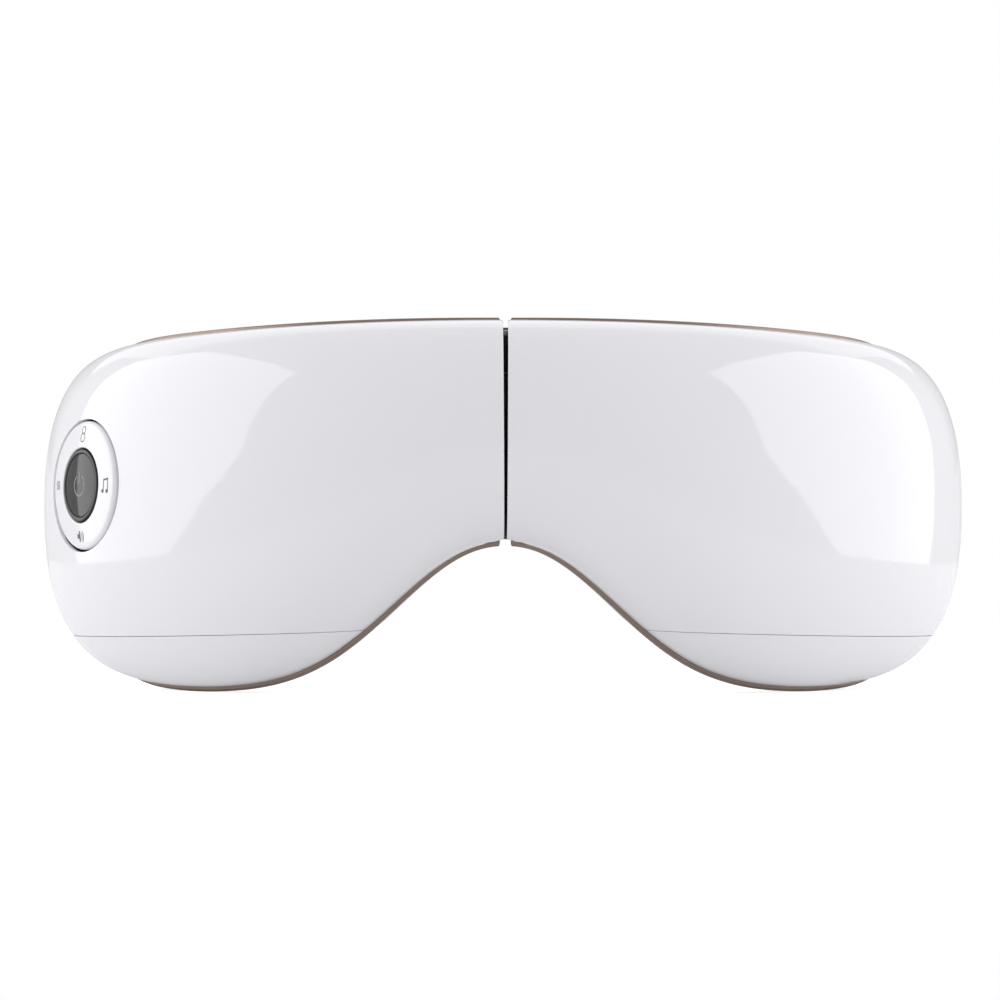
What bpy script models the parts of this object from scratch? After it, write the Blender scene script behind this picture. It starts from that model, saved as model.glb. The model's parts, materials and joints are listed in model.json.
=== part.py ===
"""Foldable eye massager mask: two glossy half shells joined by a hinge over the nose, a control dial at
the wearer's right temple, and in each half the cushion, airbag, motor and electronics.

The frame is metres with +Z up. The front of the mask faces -Y and the wearer's right half lies at -X.
Each half is described once, on the right, along a plan ellipse: t is the angle along it from the nose to
the temple, n is the distance from it (negative is inwards, towards the face) and z is the height. The left
half is its mirror.
"""

import math

import bmesh
import bpy
from mathutils import Matrix, Vector

MM = 0.001
RIGHT, LEFT = "right", "left"

# The origin lies at the bottom centre of the mask's box, this far from the centre of the plan ellipse
ORIGIN_SHIFT = Vector((0, 32.127, -1.4)) * MM

# Mask surface
PLAN_HALF_WIDTH = 104.2 * MM
PLAN_DEPTH = 83.0 * MM
TEMPLE_END = math.radians(98)
TEMPLE_HEIGHT = 41.5 * MM
TOP_HEIGHT = 80.9 * MM
TOP_DROP = 3.2 * MM
LOBE_HEIGHT = 2.1 * MM
NOSE_ARCH = 31.7 * MM
NOSE_WIDTH = 31.6 * MM
NOSE_POWER = 2.16
SHELL_DEPTH = 17.0 * MM
SECTION_POWER = 2.35
TOP_CLOSING = (math.radians(45), 3.35)
BOTTOM_CLOSING = (math.radians(36.5), 2.68)
CROWN_CLOSING = (math.radians(71), 2.1)

# Walls and gaps
WALL = 1.8 * MM
GAP = 0.3 * MM
SEAM_GAP_BOTTOM = 0.3 * MM
SEAM_GAP_TOP = 0.75 * MM
SEAM_WALL_DEPTH = 11.0 * MM
PANEL_LINE_HEIGHT = 15.3 * MM
PANEL_LINE_X = -29.0 * MM
PANEL_LINE_SLOPE = math.radians(2.0)

# Trim band
TRIM_FRONT = -(SHELL_DEPTH + GAP)
TRIM_BACK = -20.0 * MM
TRIM_WALL = 1.4 * MM
TRIM_PROUD_TOP = 0.7 * MM
TRIM_PROUD_BOTTOM = 1.2 * MM

# Rear shell
REAR_FRONT = TRIM_BACK - 0.8 * MM
REAR_BACK = -25.0 * MM
REAR_POWER = 8.0
REAR_INSET = 0.4 * MM
REAR_CLOSING = (math.radians(80), 2.5)

# Hinge
HINGE_DEPTH = -16.0 * MM
HINGE_RADIUS = 4.0 * MM
HINGE_PIN_RADIUS = 1.5 * MM
HINGE_BORE_RADIUS = 1.58 * MM
HINGE_CLEARANCE_RADIUS = 4.5 * MM
HINGE_BOTTOM = 34.5 * MM
HINGE_TOP = 78.5 * MM
KNUCKLES = {
    RIGHT: ((35.8 * MM, 43.3 * MM), (53.0 * MM, 60.0 * MM), (69.7 * MM, 77.3 * MM)),
    LEFT: ((44.7 * MM, 52.7 * MM), (60.3 * MM, 68.3 * MM)),
}
WASHERS = {"lower": (43.6 * MM, 44.4 * MM), "upper": (68.6 * MM, 69.4 * MM)}
LEAF_INNER, LEAF_OUTER, LEAF_THICKNESS = 5.0 * MM, 17.0 * MM, 2.0 * MM
PIN_HEAD_RADIUS, PIN_HEAD_HEIGHT, PIN_HOLLOW_RADIUS = 3.0 * MM, 1.0 * MM, 0.8 * MM
CLIP_RADIUS, CLIP_LOW, CLIP_HIGH = 3.2 * MM, 77.6 * MM, 78.3 * MM
PIN_FIT = 0.1 * MM
FOLD_HALF_ANGLE = math.radians(41)

# Face side
CUSHION_FRONT = REAR_BACK - GAP
CUSHION_THICKNESS = 6.4 * MM
CUSHION_INSET = 4.0 * MM
CUSHION_START_X = 14.5 * MM
CUSHION_END = math.radians(82)
EYE_ANGLE = math.radians(27)
EYE_HEIGHT = 52.0 * MM
EYE_HALF_WIDTH = 21.0 * MM
EYE_HALF_HEIGHT = 15.5 * MM
EYE_ROOM_SIDES, EYE_ROOM_ENDS = 1.0 * MM, 0.8 * MM
EYE_FILL = 0.97
AIRBAG_THICKNESS = 3.2 * MM
FILM_THICKNESS = 0.6 * MM
PAD_THICKNESS = 1.6 * MM
AIR_PORT_RADIUS = 1.6 * MM

# Control dial: heights are along its axis, 0 at the mask's surface, positive outwards
DIAL_ANGLE = math.radians(62)
DIAL_HEIGHT = 46.0 * MM
DIAL_TURN = math.radians(2)
DIAL_LEAN = math.radians(2)
DIAL_DOME_RADIUS = 78.0 * MM
DIAL_HOLE_RADIUS = 14.5 * MM
RING_OUTER, RING_INNER = 14.0 * MM, 8.6 * MM
RING_CROWN, RING_BACK = 0.4 * MM, -3.8 * MM
DOME_EDGE = 0.35 * MM
PLATE_OUTER, PLATE_INNER = 13.0 * MM, 9.0 * MM
PLATE_FRONT, PLATE_BACK = -4.4 * MM, -5.2 * MM
BUTTON_RADIUS = 7.8 * MM
BUTTON_CROWN, BUTTON_BACK = 0.5 * MM, -4.0 * MM
STEM_RADIUS, STEM_BACK = 2.4 * MM, -6.4 * MM
SEAT_OUTER, SEAT_INNER, SEAT_HOLE = 16.2 * MM, 14.9 * MM, 3.4 * MM
SEAT_TOP, SEAT_FLOOR, SEAT_BACK = -4.9 * MM, -5.8 * MM, -7.0 * MM
MEMBRANE_RADIUS, MEMBRANE_FRONT, MEMBRANE_BACK = 13.0 * MM, -7.3 * MM, -7.8 * MM
KEY_BOARD_FRONT, KEY_BOARD_BACK = -8.1 * MM, -9.1 * MM

# Strap loop at each temple
LOOP_ANGLE = math.radians(92)
LOOP_HEIGHT = 44.0 * MM
LOOP_FRONT = -25.9 * MM
LOOP_THICKNESS = 2.6 * MM
LOOP_START, LOOP_END, LOOP_TALL = -5.0 * MM, 17.0 * MM, 32.0 * MM
WINDOW_START, WINDOW_END, WINDOW_TALL = 8.8 * MM, 14.0 * MM, 26.0 * MM
SCREW_SPACING = 20.0 * MM
SCREW_RADIUS, SCREW_HEAD_RADIUS = 0.9 * MM, 1.8 * MM
SCREW_HEAD_HEIGHT, SCREW_LENGTH = 1.1 * MM, 4.6 * MM
COUNTERBORE_RADIUS, COUNTERBORE_DEPTH = 2.1 * MM, 1.4 * MM

# Insides: a place is (plan angle, height, depth), and lows and highs are measured up from it
MOTOR_PLACE = (math.radians(17), 54.0 * MM, -10.5 * MM)
MOTOR_RADIUS, MOTOR_HIGH = 3.5 * MM, 13.0 * MM
MOTOR_BORE_RADIUS, MOTOR_BORE_LOW = 0.65 * MM, 10.0 * MM
WEIGHT_RADIUS, WEIGHT_LOW, WEIGHT_HIGH = 3.2 * MM, 13.4 * MM, 17.4 * MM
WEIGHT_SHAFT_RADIUS, WEIGHT_SHAFT_LOW = 0.5 * MM, 10.4 * MM
WEIGHT_CUT = 0.9 * MM
SPEAKER_PLACE = (math.radians(82), 50.0 * MM, -15.5 * MM)
SPEAKER_RADIUS, SPEAKER_MAGNET_RADIUS, SPEAKER_CONE_RADIUS = 9.0 * MM, 6.0 * MM, 5.0 * MM
SPEAKER_FRONT, SPEAKER_CONE, SPEAKER_RIM, SPEAKER_BACK = 2.5 * MM, 1.5 * MM, 0.5 * MM, -2.5 * MM
MAIN_BOARD_PLACE = (math.radians(40), 36.0 * MM, -17.0 * MM)
MAIN_BOARD_SIZE = (36.0 * MM, 1.2 * MM, 44.0 * MM)
POWER_BOARD_PLACE = (math.radians(42), 58.0 * MM, -18.0 * MM)
POWER_BOARD_SIZE = (14.0 * MM, 1.2 * MM, 26.0 * MM)
BATTERY_PLACE = (math.radians(35), 34.0 * MM, -12.5 * MM)
BATTERY_SIZE = (38.0 * MM, 7.0 * MM, 30.0 * MM)
BATTERY_EDGE = 1.5 * MM
PUMP_PLACE = (math.radians(60), 16.0 * MM, -12.2 * MM)
PUMP_MOTOR_RADIUS, PUMP_MOTOR_HIGH = 6.5 * MM, 22.0 * MM
PUMP_BORE_RADIUS, PUMP_BORE_LOW = 0.85 * MM, 18.0 * MM
CRANK_RADIUS, CRANK_LOW, CRANK_HIGH = 4.0 * MM, 22.6 * MM, 24.6 * MM
CRANK_SHAFT_RADIUS, CRANK_SHAFT_LOW = 0.7 * MM, 18.5 * MM
CRANK_PIN_RADIUS, CRANK_PIN_HIGH, CRANK_THROW = 0.8 * MM, 27.0 * MM, 2.4 * MM
PUMP_HEAD_SIZE, PUMP_HEAD_HEIGHT = (13.0 * MM, 13.0 * MM, 12.0 * MM), 33.6 * MM
PUMP_POST_SIZE, PUMP_POST_HEIGHT = (1.6 * MM, 8.0 * MM, 7.0 * MM), 25.9 * MM
PUMP_POST_OFFSET = 5.7 * MM
VALVE_PLACE = (math.radians(76), 20.0 * MM, -12.0 * MM)
VALVE_RADIUS, VALVE_HIGH = 4.5 * MM, 11.0 * MM
VALVE_BORE_RADIUS, VALVE_BORE_LOW = 1.35 * MM, 2.0 * MM
PLUNGER_RADIUS, PLUNGER_LOW = 1.2 * MM, 4.0 * MM
PLUNGER_HEAD_RADIUS, PLUNGER_HEAD_LOW, PLUNGER_HEAD_HIGH = 2.0 * MM, 13.0 * MM, 14.0 * MM
PORT_PLACE = (math.radians(55), 10.4 * MM, -14.2 * MM)
PORT_SIZE, PORT_HEIGHT, PORT_WALL = (9.0 * MM, 3.4 * MM, 6.4 * MM), -2.4 * MM, 0.4 * MM
PORT_MOUTH_DEPTH = 6.0 * MM

# Each hose's route as (plan angle in degrees, height and depth in millimetres)
HOSE_RADIUS = 1.3 * MM
HOSE_ROUTES = {
    RIGHT: [
        (27, 52, -19.0),
        (27, 52, -17.2),
        (24, 49, -14.5),
        (20, 46, -13),
        (14, 45, -11),
        (8, 45, -9.5),
        (5, 45, -9),
    ],
    LEFT: [
        (27, 52, -19.0),
        (27, 52, -17.4),
        (30, 56, -14),
        (40, 65, -12),
        (52, 66, -12),
        (60, 61, -12.2),
        (60, 56, -12.2),
    ],
}

PARTS = "eye_massager_mask"
CUTTERS = "cutters"


# --- scene -------------------------------------------------------------------------------------------------


def clear_scene():
    for obj in list(bpy.data.objects):
        bpy.data.objects.remove(obj, do_unlink=True)
    for name in (PARTS, CUTTERS):
        group = bpy.data.collections.new(name)
        bpy.context.scene.collection.children.link(group)
    bpy.data.collections[CUTTERS].hide_render = True


def material(name, colour, roughness, metallic=0.0):
    made = bpy.data.materials.get(name)
    if made is None:
        made = bpy.data.materials.new(name)
        made.use_nodes = True
        shader = made.node_tree.nodes["Principled BSDF"]
        shader.inputs["Base Color"].default_value = (*colour, 1.0)
        shader.inputs["Roughness"].default_value = roughness
        shader.inputs["Metallic"].default_value = metallic
    return made


def gloss_white():
    return material("gloss_white", (0.82, 0.82, 0.85), 0.08)


def champagne_metal():
    return material("champagne_metal", (0.47, 0.37, 0.31), 0.35, 0.8)


def dark_plastic():
    return material("dark_plastic", (0.07, 0.06, 0.055), 0.5)


def leather():
    return material("taupe_leather", (0.16, 0.13, 0.12), 0.55)


def fabric():
    return material("grey_fabric", (0.2, 0.19, 0.19), 0.85)


def steel():
    return material("steel", (0.6, 0.6, 0.6), 0.3, 1.0)


def blackened_steel():
    return material("blackened_steel", (0.03, 0.03, 0.032), 0.4, 1.0)


def black_gloss():
    return material("black_gloss", (0.01, 0.01, 0.012), 0.08)


def silicone():
    return material("silicone", (0.5, 0.5, 0.5), 0.6)


def circuit_green():
    return material("circuit_green", (0.03, 0.2, 0.09), 0.45)


def copper_film():
    return material("copper_film", (0.6, 0.36, 0.18), 0.4, 0.6)


def battery_wrap():
    return material("battery_wrap", (0.1, 0.2, 0.45), 0.4)


# --- the mask's surface ------------------------------------------------------------------------------------


def plan(t):
    return Vector((-PLAN_HALF_WIDTH * math.sin(t), -PLAN_DEPTH * math.cos(t), 0))


def outward(t):
    return Vector((-math.sin(t) / PLAN_HALF_WIDTH, -math.cos(t) / PLAN_DEPTH, 0)).normalized()


def closing(t, start, power, end=TEMPLE_END):
    """1 along the mask, falling to 0 in a round curve at the temple end."""
    run = min(1.0, max(0.0, (t - start) / (end - start)))
    return max(0.0, 1 - run**power) ** (1 / power)


def temple_end(inset):
    return TEMPLE_END - inset / PLAN_HALF_WIDTH


def rim_x(t):
    return abs(plan(t).x - outward(t).x * SHELL_DEPTH)


def top_edge(t):
    return TOP_HEIGHT - TOP_DROP * (rim_x(t) / 0.075) ** 2.2


def bottom_edge(t):
    return LOBE_HEIGHT + NOSE_ARCH * math.exp(-((rim_x(t) / NOSE_WIDTH) ** NOSE_POWER))


def rim(t, inset=0.0):
    """The heights of the bottom and top edges, drawn in by inset."""
    end = temple_end(inset)
    top = (top_edge(t) - inset - TEMPLE_HEIGHT) * closing(t, *TOP_CLOSING, end)
    bottom = (bottom_edge(t) + inset - TEMPLE_HEIGHT) * closing(t, *BOTTOM_CLOSING, end)
    return TEMPLE_HEIGHT + bottom, TEMPLE_HEIGHT + top


def section(t, w, front, back, power, crown, inset=0.0):
    """A point of a bulged sheet: w runs from -1 on the bottom edge to 1 on the top edge."""
    bottom, top = rim(t, inset)
    angle = w * math.pi / 2
    height = math.copysign(abs(math.sin(angle)) ** (2 / power), w)
    bulge = max(0.0, math.cos(angle)) ** (2 / power) * closing(t, *crown, temple_end(inset))
    point = plan(t) + outward(t) * (front + (back - front) * bulge)
    point.z = (bottom + top) / 2 + height * (top - bottom) / 2
    return point


def front_point(t, w):
    return section(t, w, -SHELL_DEPTH, 0.0, SECTION_POWER, CROWN_CLOSING)


def seam_gap(z):
    low, _ = rim(0)
    share = (z - low) / (TOP_HEIGHT - low)
    return SEAM_GAP_BOTTOM + (SEAM_GAP_TOP - SEAM_GAP_BOTTOM) * min(1.0, max(0.0, share))


def fold_clearance(n):
    """The least distance from the seam plane, at depth n, that lets the halves fold without touching."""
    return SEAM_GAP_TOP + max(0.0, HINGE_DEPTH - n) * math.tan(FOLD_HALF_ANGLE)


def stations(first, straight, rounded, end):
    """Angles along the plan, closer together towards the temple end."""
    turn = math.radians(60)
    run = [first + (turn - first) * i / straight for i in range(straight)]
    return run + [
        turn + (end - turn) * math.sin(math.pi / 2 * i / rounded) for i in range(rounded + 1)
    ]


def angle_at(x, n):
    """The plan angle where a sheet at depth n lies x from the seam plane."""
    low, high = 0.0, math.radians(60)
    for _ in range(40):
        middle = (low + high) / 2
        if -(plan(middle) + outward(middle) * n).x < x:
            low = middle
        else:
            high = middle
    return low


# --- placing -----------------------------------------------------------------------------------------------


def side_matrix(side):
    return Matrix.Diagonal((1 if side == RIGHT else -1, 1, 1, 1))


def local(t, z, n):
    """A frame on the plan curve: X towards the temple, Y outwards, Z up."""
    normal = outward(t)
    along = normal.cross(Vector((0, 0, 1)))
    frame = Matrix((along, normal, (0, 0, 1))).transposed().to_4x4()
    frame.translation = plan(t) + normal * n + Vector((0, 0, z))
    return frame


def axis_frame(frame):
    """The same place with Z turned outwards and Y up, for what is turned about the outward axis."""
    return frame @ Matrix.Rotation(-math.pi / 2, 4, "X") @ Matrix.Rotation(math.pi, 4, "Z")


def dial_frame():
    points = [front_point(DIAL_ANGLE, i / 500) for i in range(-400, 401)]
    frame = local(DIAL_ANGLE, 0, 0)
    frame.translation = min(points, key=lambda point: abs(point.z - DIAL_HEIGHT))
    turned = frame @ Matrix.Rotation(-DIAL_TURN, 4, "Z") @ Matrix.Rotation(DIAL_LEAN, 4, "X")
    return axis_frame(turned)


def placed(side, frame=None):
    """Where something described in the right half's frame lies, on the side that it is made for."""
    return Matrix.Translation(ORIGIN_SHIFT) @ side_matrix(side) @ (frame or Matrix.Identity(4))


def add_empty(name, location):
    empty = bpy.data.objects.new(name, None)
    empty.location = location + ORIGIN_SHIFT
    bpy.data.collections[PARTS].objects.link(empty)
    return empty


def hinge_location():
    return Vector((0, -PLAN_DEPTH - HINGE_DEPTH, 0))


def add_part(name, mesh, look, side=RIGHT, frame=None):
    obj = bpy.data.objects.new(name, mesh)
    obj.data.materials.clear()
    obj.data.materials.append(look)
    bpy.data.collections[PARTS].objects.link(obj)
    parent = bpy.data.objects[f"{side}_half"]
    obj.parent = parent
    obj.matrix_parent_inverse = Matrix.Translation(parent.location).inverted()
    obj.matrix_basis = placed(side, frame)
    return obj


def add_cutter(name, mesh, side=RIGHT, frame=None):
    obj = bpy.data.objects.new(name, mesh)
    bpy.data.collections[CUTTERS].objects.link(obj)
    obj.matrix_basis = placed(side, frame)
    obj.hide_render = True
    obj.display_type = "WIRE"
    return obj


def boolean(obj, cutter, operation="DIFFERENCE"):
    modifier = obj.modifiers.new(f"{operation.lower()}_{cutter.name}", "BOOLEAN")
    modifier.operation = operation
    modifier.object = cutter


def thicken(obj, thickness, offset):
    modifier = obj.modifiers.new("wall", "SOLIDIFY")
    modifier.thickness = thickness
    modifier.offset = offset
    modifier.use_even_offset = True
    modifier.use_quality_normals = True


def smooth(obj, angle=40):
    obj.data.shade_smooth()
    obj.data.set_sharp_from_angle(angle=math.radians(angle))


# --- meshes ------------------------------------------------------------------------------------------------


def sheet_mesh(name, columns, rows, point):
    """An open sheet of a grid whose vertex in column i and row j lies at point(i, j)."""
    bm = bmesh.new()
    bmesh.ops.create_grid(bm, x_segments=columns, y_segments=rows, size=1.0)
    for vert in bm.verts:
        i = round((vert.co.x + 1) / 2 * columns)
        j = round((vert.co.y + 1) / 2 * rows)
        vert.co = point(i, j)
    bmesh.ops.remove_doubles(bm, verts=bm.verts, dist=2e-6)
    bmesh.ops.dissolve_degenerate(bm, edges=bm.edges, dist=1e-6)
    return to_mesh(bm, name)


def to_mesh(bm, name):
    mesh = bpy.data.meshes.new(name)
    bm.to_mesh(mesh)
    bm.free()
    return mesh


def box_mesh(name, size, centre=(0, 0, 0)):
    bm = bmesh.new()
    bmesh.ops.create_cube(bm, size=1.0)
    bmesh.ops.scale(bm, vec=size, verts=bm.verts)
    bmesh.ops.translate(bm, vec=centre, verts=bm.verts)
    return to_mesh(bm, name)


def cylinder_mesh(name, radius, low, high, segments=24, stretch=(1, 1, 1)):
    bm = bmesh.new()
    bmesh.ops.create_cone(
        bm, cap_ends=True, segments=segments, radius1=radius, radius2=radius, depth=high - low
    )
    bmesh.ops.translate(bm, vec=(0, 0, (low + high) / 2), verts=bm.verts)
    bmesh.ops.scale(bm, vec=stretch, verts=bm.verts)
    return to_mesh(bm, name)


def turned_mesh(name, profile):
    """The outline of a turned piece, as (radius, height) points from its outer top, down and round."""
    mesh = bpy.data.meshes.new(name)
    points = [(radius, 0, height) for radius, height in profile]
    count = len(points)
    closed = profile[0][0] > 0 and profile[-1][0] > 0
    edges = [(i, i + 1) for i in range(count - 1)] + ([(count - 1, 0)] if closed else [])
    mesh.from_pydata(points, edges, [])
    return mesh


def add_turned(name, profile, look, side=RIGHT, frame=None, steps=32):
    obj = add_part(name, turned_mesh(name, profile), look, side, frame)
    modifier = obj.modifiers.new("turn", "SCREW")
    modifier.steps = modifier.render_steps = steps
    modifier.use_merge_vertices = True
    modifier.merge_threshold = 1e-5
    modifier.use_smooth_shade = True
    return obj


def tube_profile(outer, inner, low, high):
    return [(outer, high), (outer, low), (inner, low), (inner, high)]


# --- shells ------------------------------------------------------------------------------------------------


def front_sheet(name):
    columns = 18
    angles = stations(math.radians(3.2), 7, 9, TEMPLE_END)

    def point(i, j):
        w = 2 * i / columns - 1
        if j >= 2:
            return front_point(angles[j - 2], w)
        edge = front_point(0.0, w)
        if j == 0:
            edge.y = max(edge.y, -PLAN_DEPTH + SEAM_WALL_DEPTH)
        edge.x = -seam_gap(edge.z)
        return edge

    return sheet_mesh(name, columns, len(angles) + 1, point)


def panel_cutter(side, drop):
    """A block whose top face is the line between the front shell and the lower panel."""
    size = 200 * MM
    block = box_mesh(f"{side}_panel_line_{drop:.4f}", (size, size, size), (0, 0, -size / 2))
    frame = Matrix.Translation((PANEL_LINE_X, 0, PANEL_LINE_HEIGHT - drop))
    frame = frame @ Matrix.Rotation(-PANEL_LINE_SLOPE, 4, "Y")
    return add_cutter(block.name, block, side, frame)


def hinge_cutter():
    mesh = cylinder_mesh("hinge_room", HINGE_CLEARANCE_RADIUS, 20 * MM, HINGE_TOP + GAP, 32)
    return add_cutter("hinge_room", mesh, RIGHT, Matrix.Translation(hinge_location()))


def dial_cutter():
    mesh = cylinder_mesh("dial_hole", DIAL_HOLE_RADIUS, -20 * MM, 10 * MM, 40)
    return add_cutter("dial_hole", mesh, RIGHT, dial_frame())


def make_front(side, hinge_room):
    shell = add_part(f"{side}_front_shell", front_sheet("front_sheet"), gloss_white(), side)
    panel = add_part(f"{side}_lower_panel", front_sheet("panel_sheet"), gloss_white(), side)
    for obj in (shell, panel):
        thicken(obj, WALL, -1)
        smooth(obj)
    boolean(shell, panel_cutter(side, 0.0))
    boolean(shell, hinge_room)
    boolean(panel, panel_cutter(side, GAP), "INTERSECT")
    return shell, panel


def rim_loop(side_points, end_points):
    """(t, top or bottom, share) along the rim: over the top to the temple, and back along the bottom."""
    loop = []
    first = math.radians(4)
    for place, (start, power) in (("top", TOP_CLOSING), ("bottom", BOTTOM_CLOSING)):
        run = [(first + (start - first) * i / side_points, 1.0) for i in range(side_points)]
        for i in range(end_points + 1):
            angle = math.pi / 2 * i / end_points
            rise = math.sin(angle) ** (2 / power)
            share = max(0.0, math.cos(angle)) ** (2 / power)
            run.append((start + (TEMPLE_END - start) * rise, share))
        named = [(t, place, share) for t, share in run]
        loop += named if place == "top" else named[-2::-1]
    return loop


def make_trim(side):
    loop = rim_loop(9, 10)
    proud = {"top": TRIM_PROUD_TOP, "bottom": -TRIM_PROUD_BOTTOM}
    edge = {"top": top_edge, "bottom": bottom_edge}
    rows = len(loop) + 1

    def point(i, j):
        n = (TRIM_BACK, TRIM_FRONT)[i]
        t, place, share = loop[min(max(j - 1, 0), len(loop) - 1)]
        if j in (0, rows):
            t = 0.0
        spot = plan(t) + outward(t) * n
        height = edge[place](t) + proud[place] - TEMPLE_HEIGHT
        spot.z = TEMPLE_HEIGHT + height * share
        if j in (0, rows):
            spot.x = -fold_clearance(n)
        elif share < 1:
            along = outward(t).cross(Vector((0, 0, 1)))
            spot += along * (1 - share) * TRIM_PROUD_TOP
        return spot

    sheet = sheet_mesh("trim_sheet", 1, rows, point)
    trim = add_part(f"{side}_trim_band", sheet, champagne_metal(), side)
    thicken(trim, TRIM_WALL, 1)
    smooth(trim)
    return trim


def rear_sheet(name):
    columns = 14
    end = temple_end(REAR_INSET)
    angles = stations(math.radians(8), 6, 7, end)

    def point(i, j):
        w = 2 * i / columns - 1
        if j >= 2:
            return section(angles[j - 2], w, REAR_FRONT, REAR_BACK, REAR_POWER, REAR_CLOSING, REAR_INSET)
        edge = section(0.0, w, REAR_FRONT, REAR_BACK, REAR_POWER, REAR_CLOSING, REAR_INSET)
        if j == 0:
            edge.y = min(edge.y, -PLAN_DEPTH - REAR_FRONT)
        edge.x = -fold_clearance(-PLAN_DEPTH - edge.y)
        return edge

    return sheet_mesh(name, columns, len(angles) + 1, point)


def make_rear(side, cutters):
    shell = add_part(f"{side}_rear_shell", rear_sheet("rear_sheet"), dark_plastic(), side)
    thicken(shell, WALL, 1)
    smooth(shell)
    for cutter in cutters:
        boolean(shell, cutter)


# --- hinge -------------------------------------------------------------------------------------------------


def make_hinge_bracket(side):
    """A leaf inside the half and its knuckles on the hinge line, in one piece."""
    axis = Matrix.Translation(hinge_location())
    low, high = KNUCKLES[side][0][0], KNUCKLES[side][-1][1]
    leaf = box_mesh(
        "hinge_leaf",
        (LEAF_OUTER - LEAF_INNER, LEAF_THICKNESS, high - low),
        (-(LEAF_INNER + LEAF_OUTER) / 2, 0, (low + high) / 2),
    )
    bracket = add_part(f"{side}_hinge_bracket", leaf, blackened_steel(), side, axis)
    for number, (bottom, top) in enumerate(KNUCKLES[side]):
        knuckle = cylinder_mesh("knuckle", HINGE_RADIUS, bottom, top, 24)
        boolean(bracket, add_cutter(f"{side}_knuckle_{number}", knuckle, side, axis), "UNION")
        size = (LEAF_INNER, LEAF_THICKNESS, top - bottom)
        web = box_mesh("web", size, (-LEAF_INNER / 2 - MM, 0, (bottom + top) / 2))
        boolean(bracket, add_cutter(f"{side}_web_{number}", web, side, axis), "UNION")
    bore = cylinder_mesh("pin_bore", HINGE_BORE_RADIUS, HINGE_BOTTOM, HINGE_TOP, 24)
    boolean(bracket, add_cutter(f"{side}_pin_bore", bore, side, axis))
    return bracket


def make_hinge_pin():
    """A hollow pin with a head below: the air line and the wires cross the fold inside it."""
    head = HINGE_BOTTOM + PIN_HEAD_HEIGHT
    profile = [
        (HINGE_PIN_RADIUS, HINGE_TOP),
        (HINGE_PIN_RADIUS, head),
        (PIN_HEAD_RADIUS, head),
        (PIN_HEAD_RADIUS, HINGE_BOTTOM),
        (PIN_HOLLOW_RADIUS, HINGE_BOTTOM),
        (PIN_HOLLOW_RADIUS, HINGE_TOP),
    ]
    axis = Matrix.Translation(hinge_location())
    add_turned("hinge_pin", profile, steel(), RIGHT, axis, 24)
    clip = tube_profile(CLIP_RADIUS, HINGE_PIN_RADIUS + PIN_FIT, CLIP_LOW, CLIP_HIGH)
    add_turned("hinge_clip", clip, steel(), RIGHT, axis, 24)
    for place, (low, high) in WASHERS.items():
        washer = tube_profile(HINGE_RADIUS - GAP, HINGE_PIN_RADIUS + PIN_FIT, low, high)
        add_turned(f"hinge_washer_{place}", washer, black_gloss(), RIGHT, axis, 24)


# --- control dial ------------------------------------------------------------------------------------------


def dome(radius, crown):
    return crown - radius * radius / (2 * DIAL_DOME_RADIUS)


def dome_front(outer, inner, crown, points=3):
    """The front of a disc or ring, domed like the mask, from its inner edge to its softened outer one."""
    reach = outer - DOME_EDGE
    radii = [inner + (reach - inner) * i / points for i in range(points + 1)]
    front = [(radius, dome(radius, crown)) for radius in radii]
    return front + [(outer, dome(outer, crown) - DOME_EDGE)]


def make_dial():
    frame = dial_frame()
    ring = dome_front(RING_OUTER, RING_INNER, RING_CROWN)
    ring += [(RING_OUTER, RING_BACK), (RING_INNER, RING_BACK)]
    add_turned("control_ring", ring, gloss_white(), RIGHT, frame, 36)
    plate = tube_profile(PLATE_OUTER, PLATE_INNER, PLATE_BACK, PLATE_FRONT)
    add_turned("rocker_plate", plate, dark_plastic(), RIGHT, frame, 28)
    button = dome_front(BUTTON_RADIUS, 0.0, BUTTON_CROWN) + [
        (BUTTON_RADIUS, BUTTON_BACK),
        (STEM_RADIUS, BUTTON_BACK),
        (STEM_RADIUS, STEM_BACK),
        (0.0, STEM_BACK),
    ]
    add_turned("power_button", button, black_gloss(), RIGHT, frame, 28)
    seat = [
        (SEAT_OUTER, SEAT_TOP),
        (SEAT_OUTER, SEAT_BACK),
        (SEAT_HOLE, SEAT_BACK),
        (SEAT_HOLE, SEAT_FLOOR),
        (SEAT_INNER, SEAT_FLOOR),
        (SEAT_INNER, SEAT_TOP),
    ]
    add_turned("dial_seat", seat, dark_plastic(), RIGHT, frame, 28)
    membrane = [(0.0, MEMBRANE_FRONT), (MEMBRANE_RADIUS, MEMBRANE_FRONT)]
    membrane += [(MEMBRANE_RADIUS, MEMBRANE_BACK), (0.0, MEMBRANE_BACK)]
    add_turned("key_membrane", membrane, silicone(), RIGHT, frame, 24)
    board = [(0.0, KEY_BOARD_FRONT), (MEMBRANE_RADIUS, KEY_BOARD_FRONT)]
    board += [(MEMBRANE_RADIUS, KEY_BOARD_BACK), (0.0, KEY_BOARD_BACK)]
    add_turned("key_board", board, circuit_green(), RIGHT, frame, 24)


# --- face side ---------------------------------------------------------------------------------------------


def cushion_sheet(name):
    columns = 10
    first = angle_at(CUSHION_START_X, CUSHION_FRONT)
    rows = 18

    def point(i, j):
        run = math.sin(math.pi / 2 * j / rows)
        t = first + (CUSHION_END - first) * run
        bottom, top = rim(t, CUSHION_INSET)
        middle, half = (bottom + top) / 2, (top - bottom) / 2
        drawn = half - 10 * MM * max(0.0, run - 0.55) ** 2
        spot = plan(t) + outward(t) * CUSHION_FRONT
        spot.z = middle + drawn * (2 * i / columns - 1)
        return spot

    return sheet_mesh(name, columns, rows, point)


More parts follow.
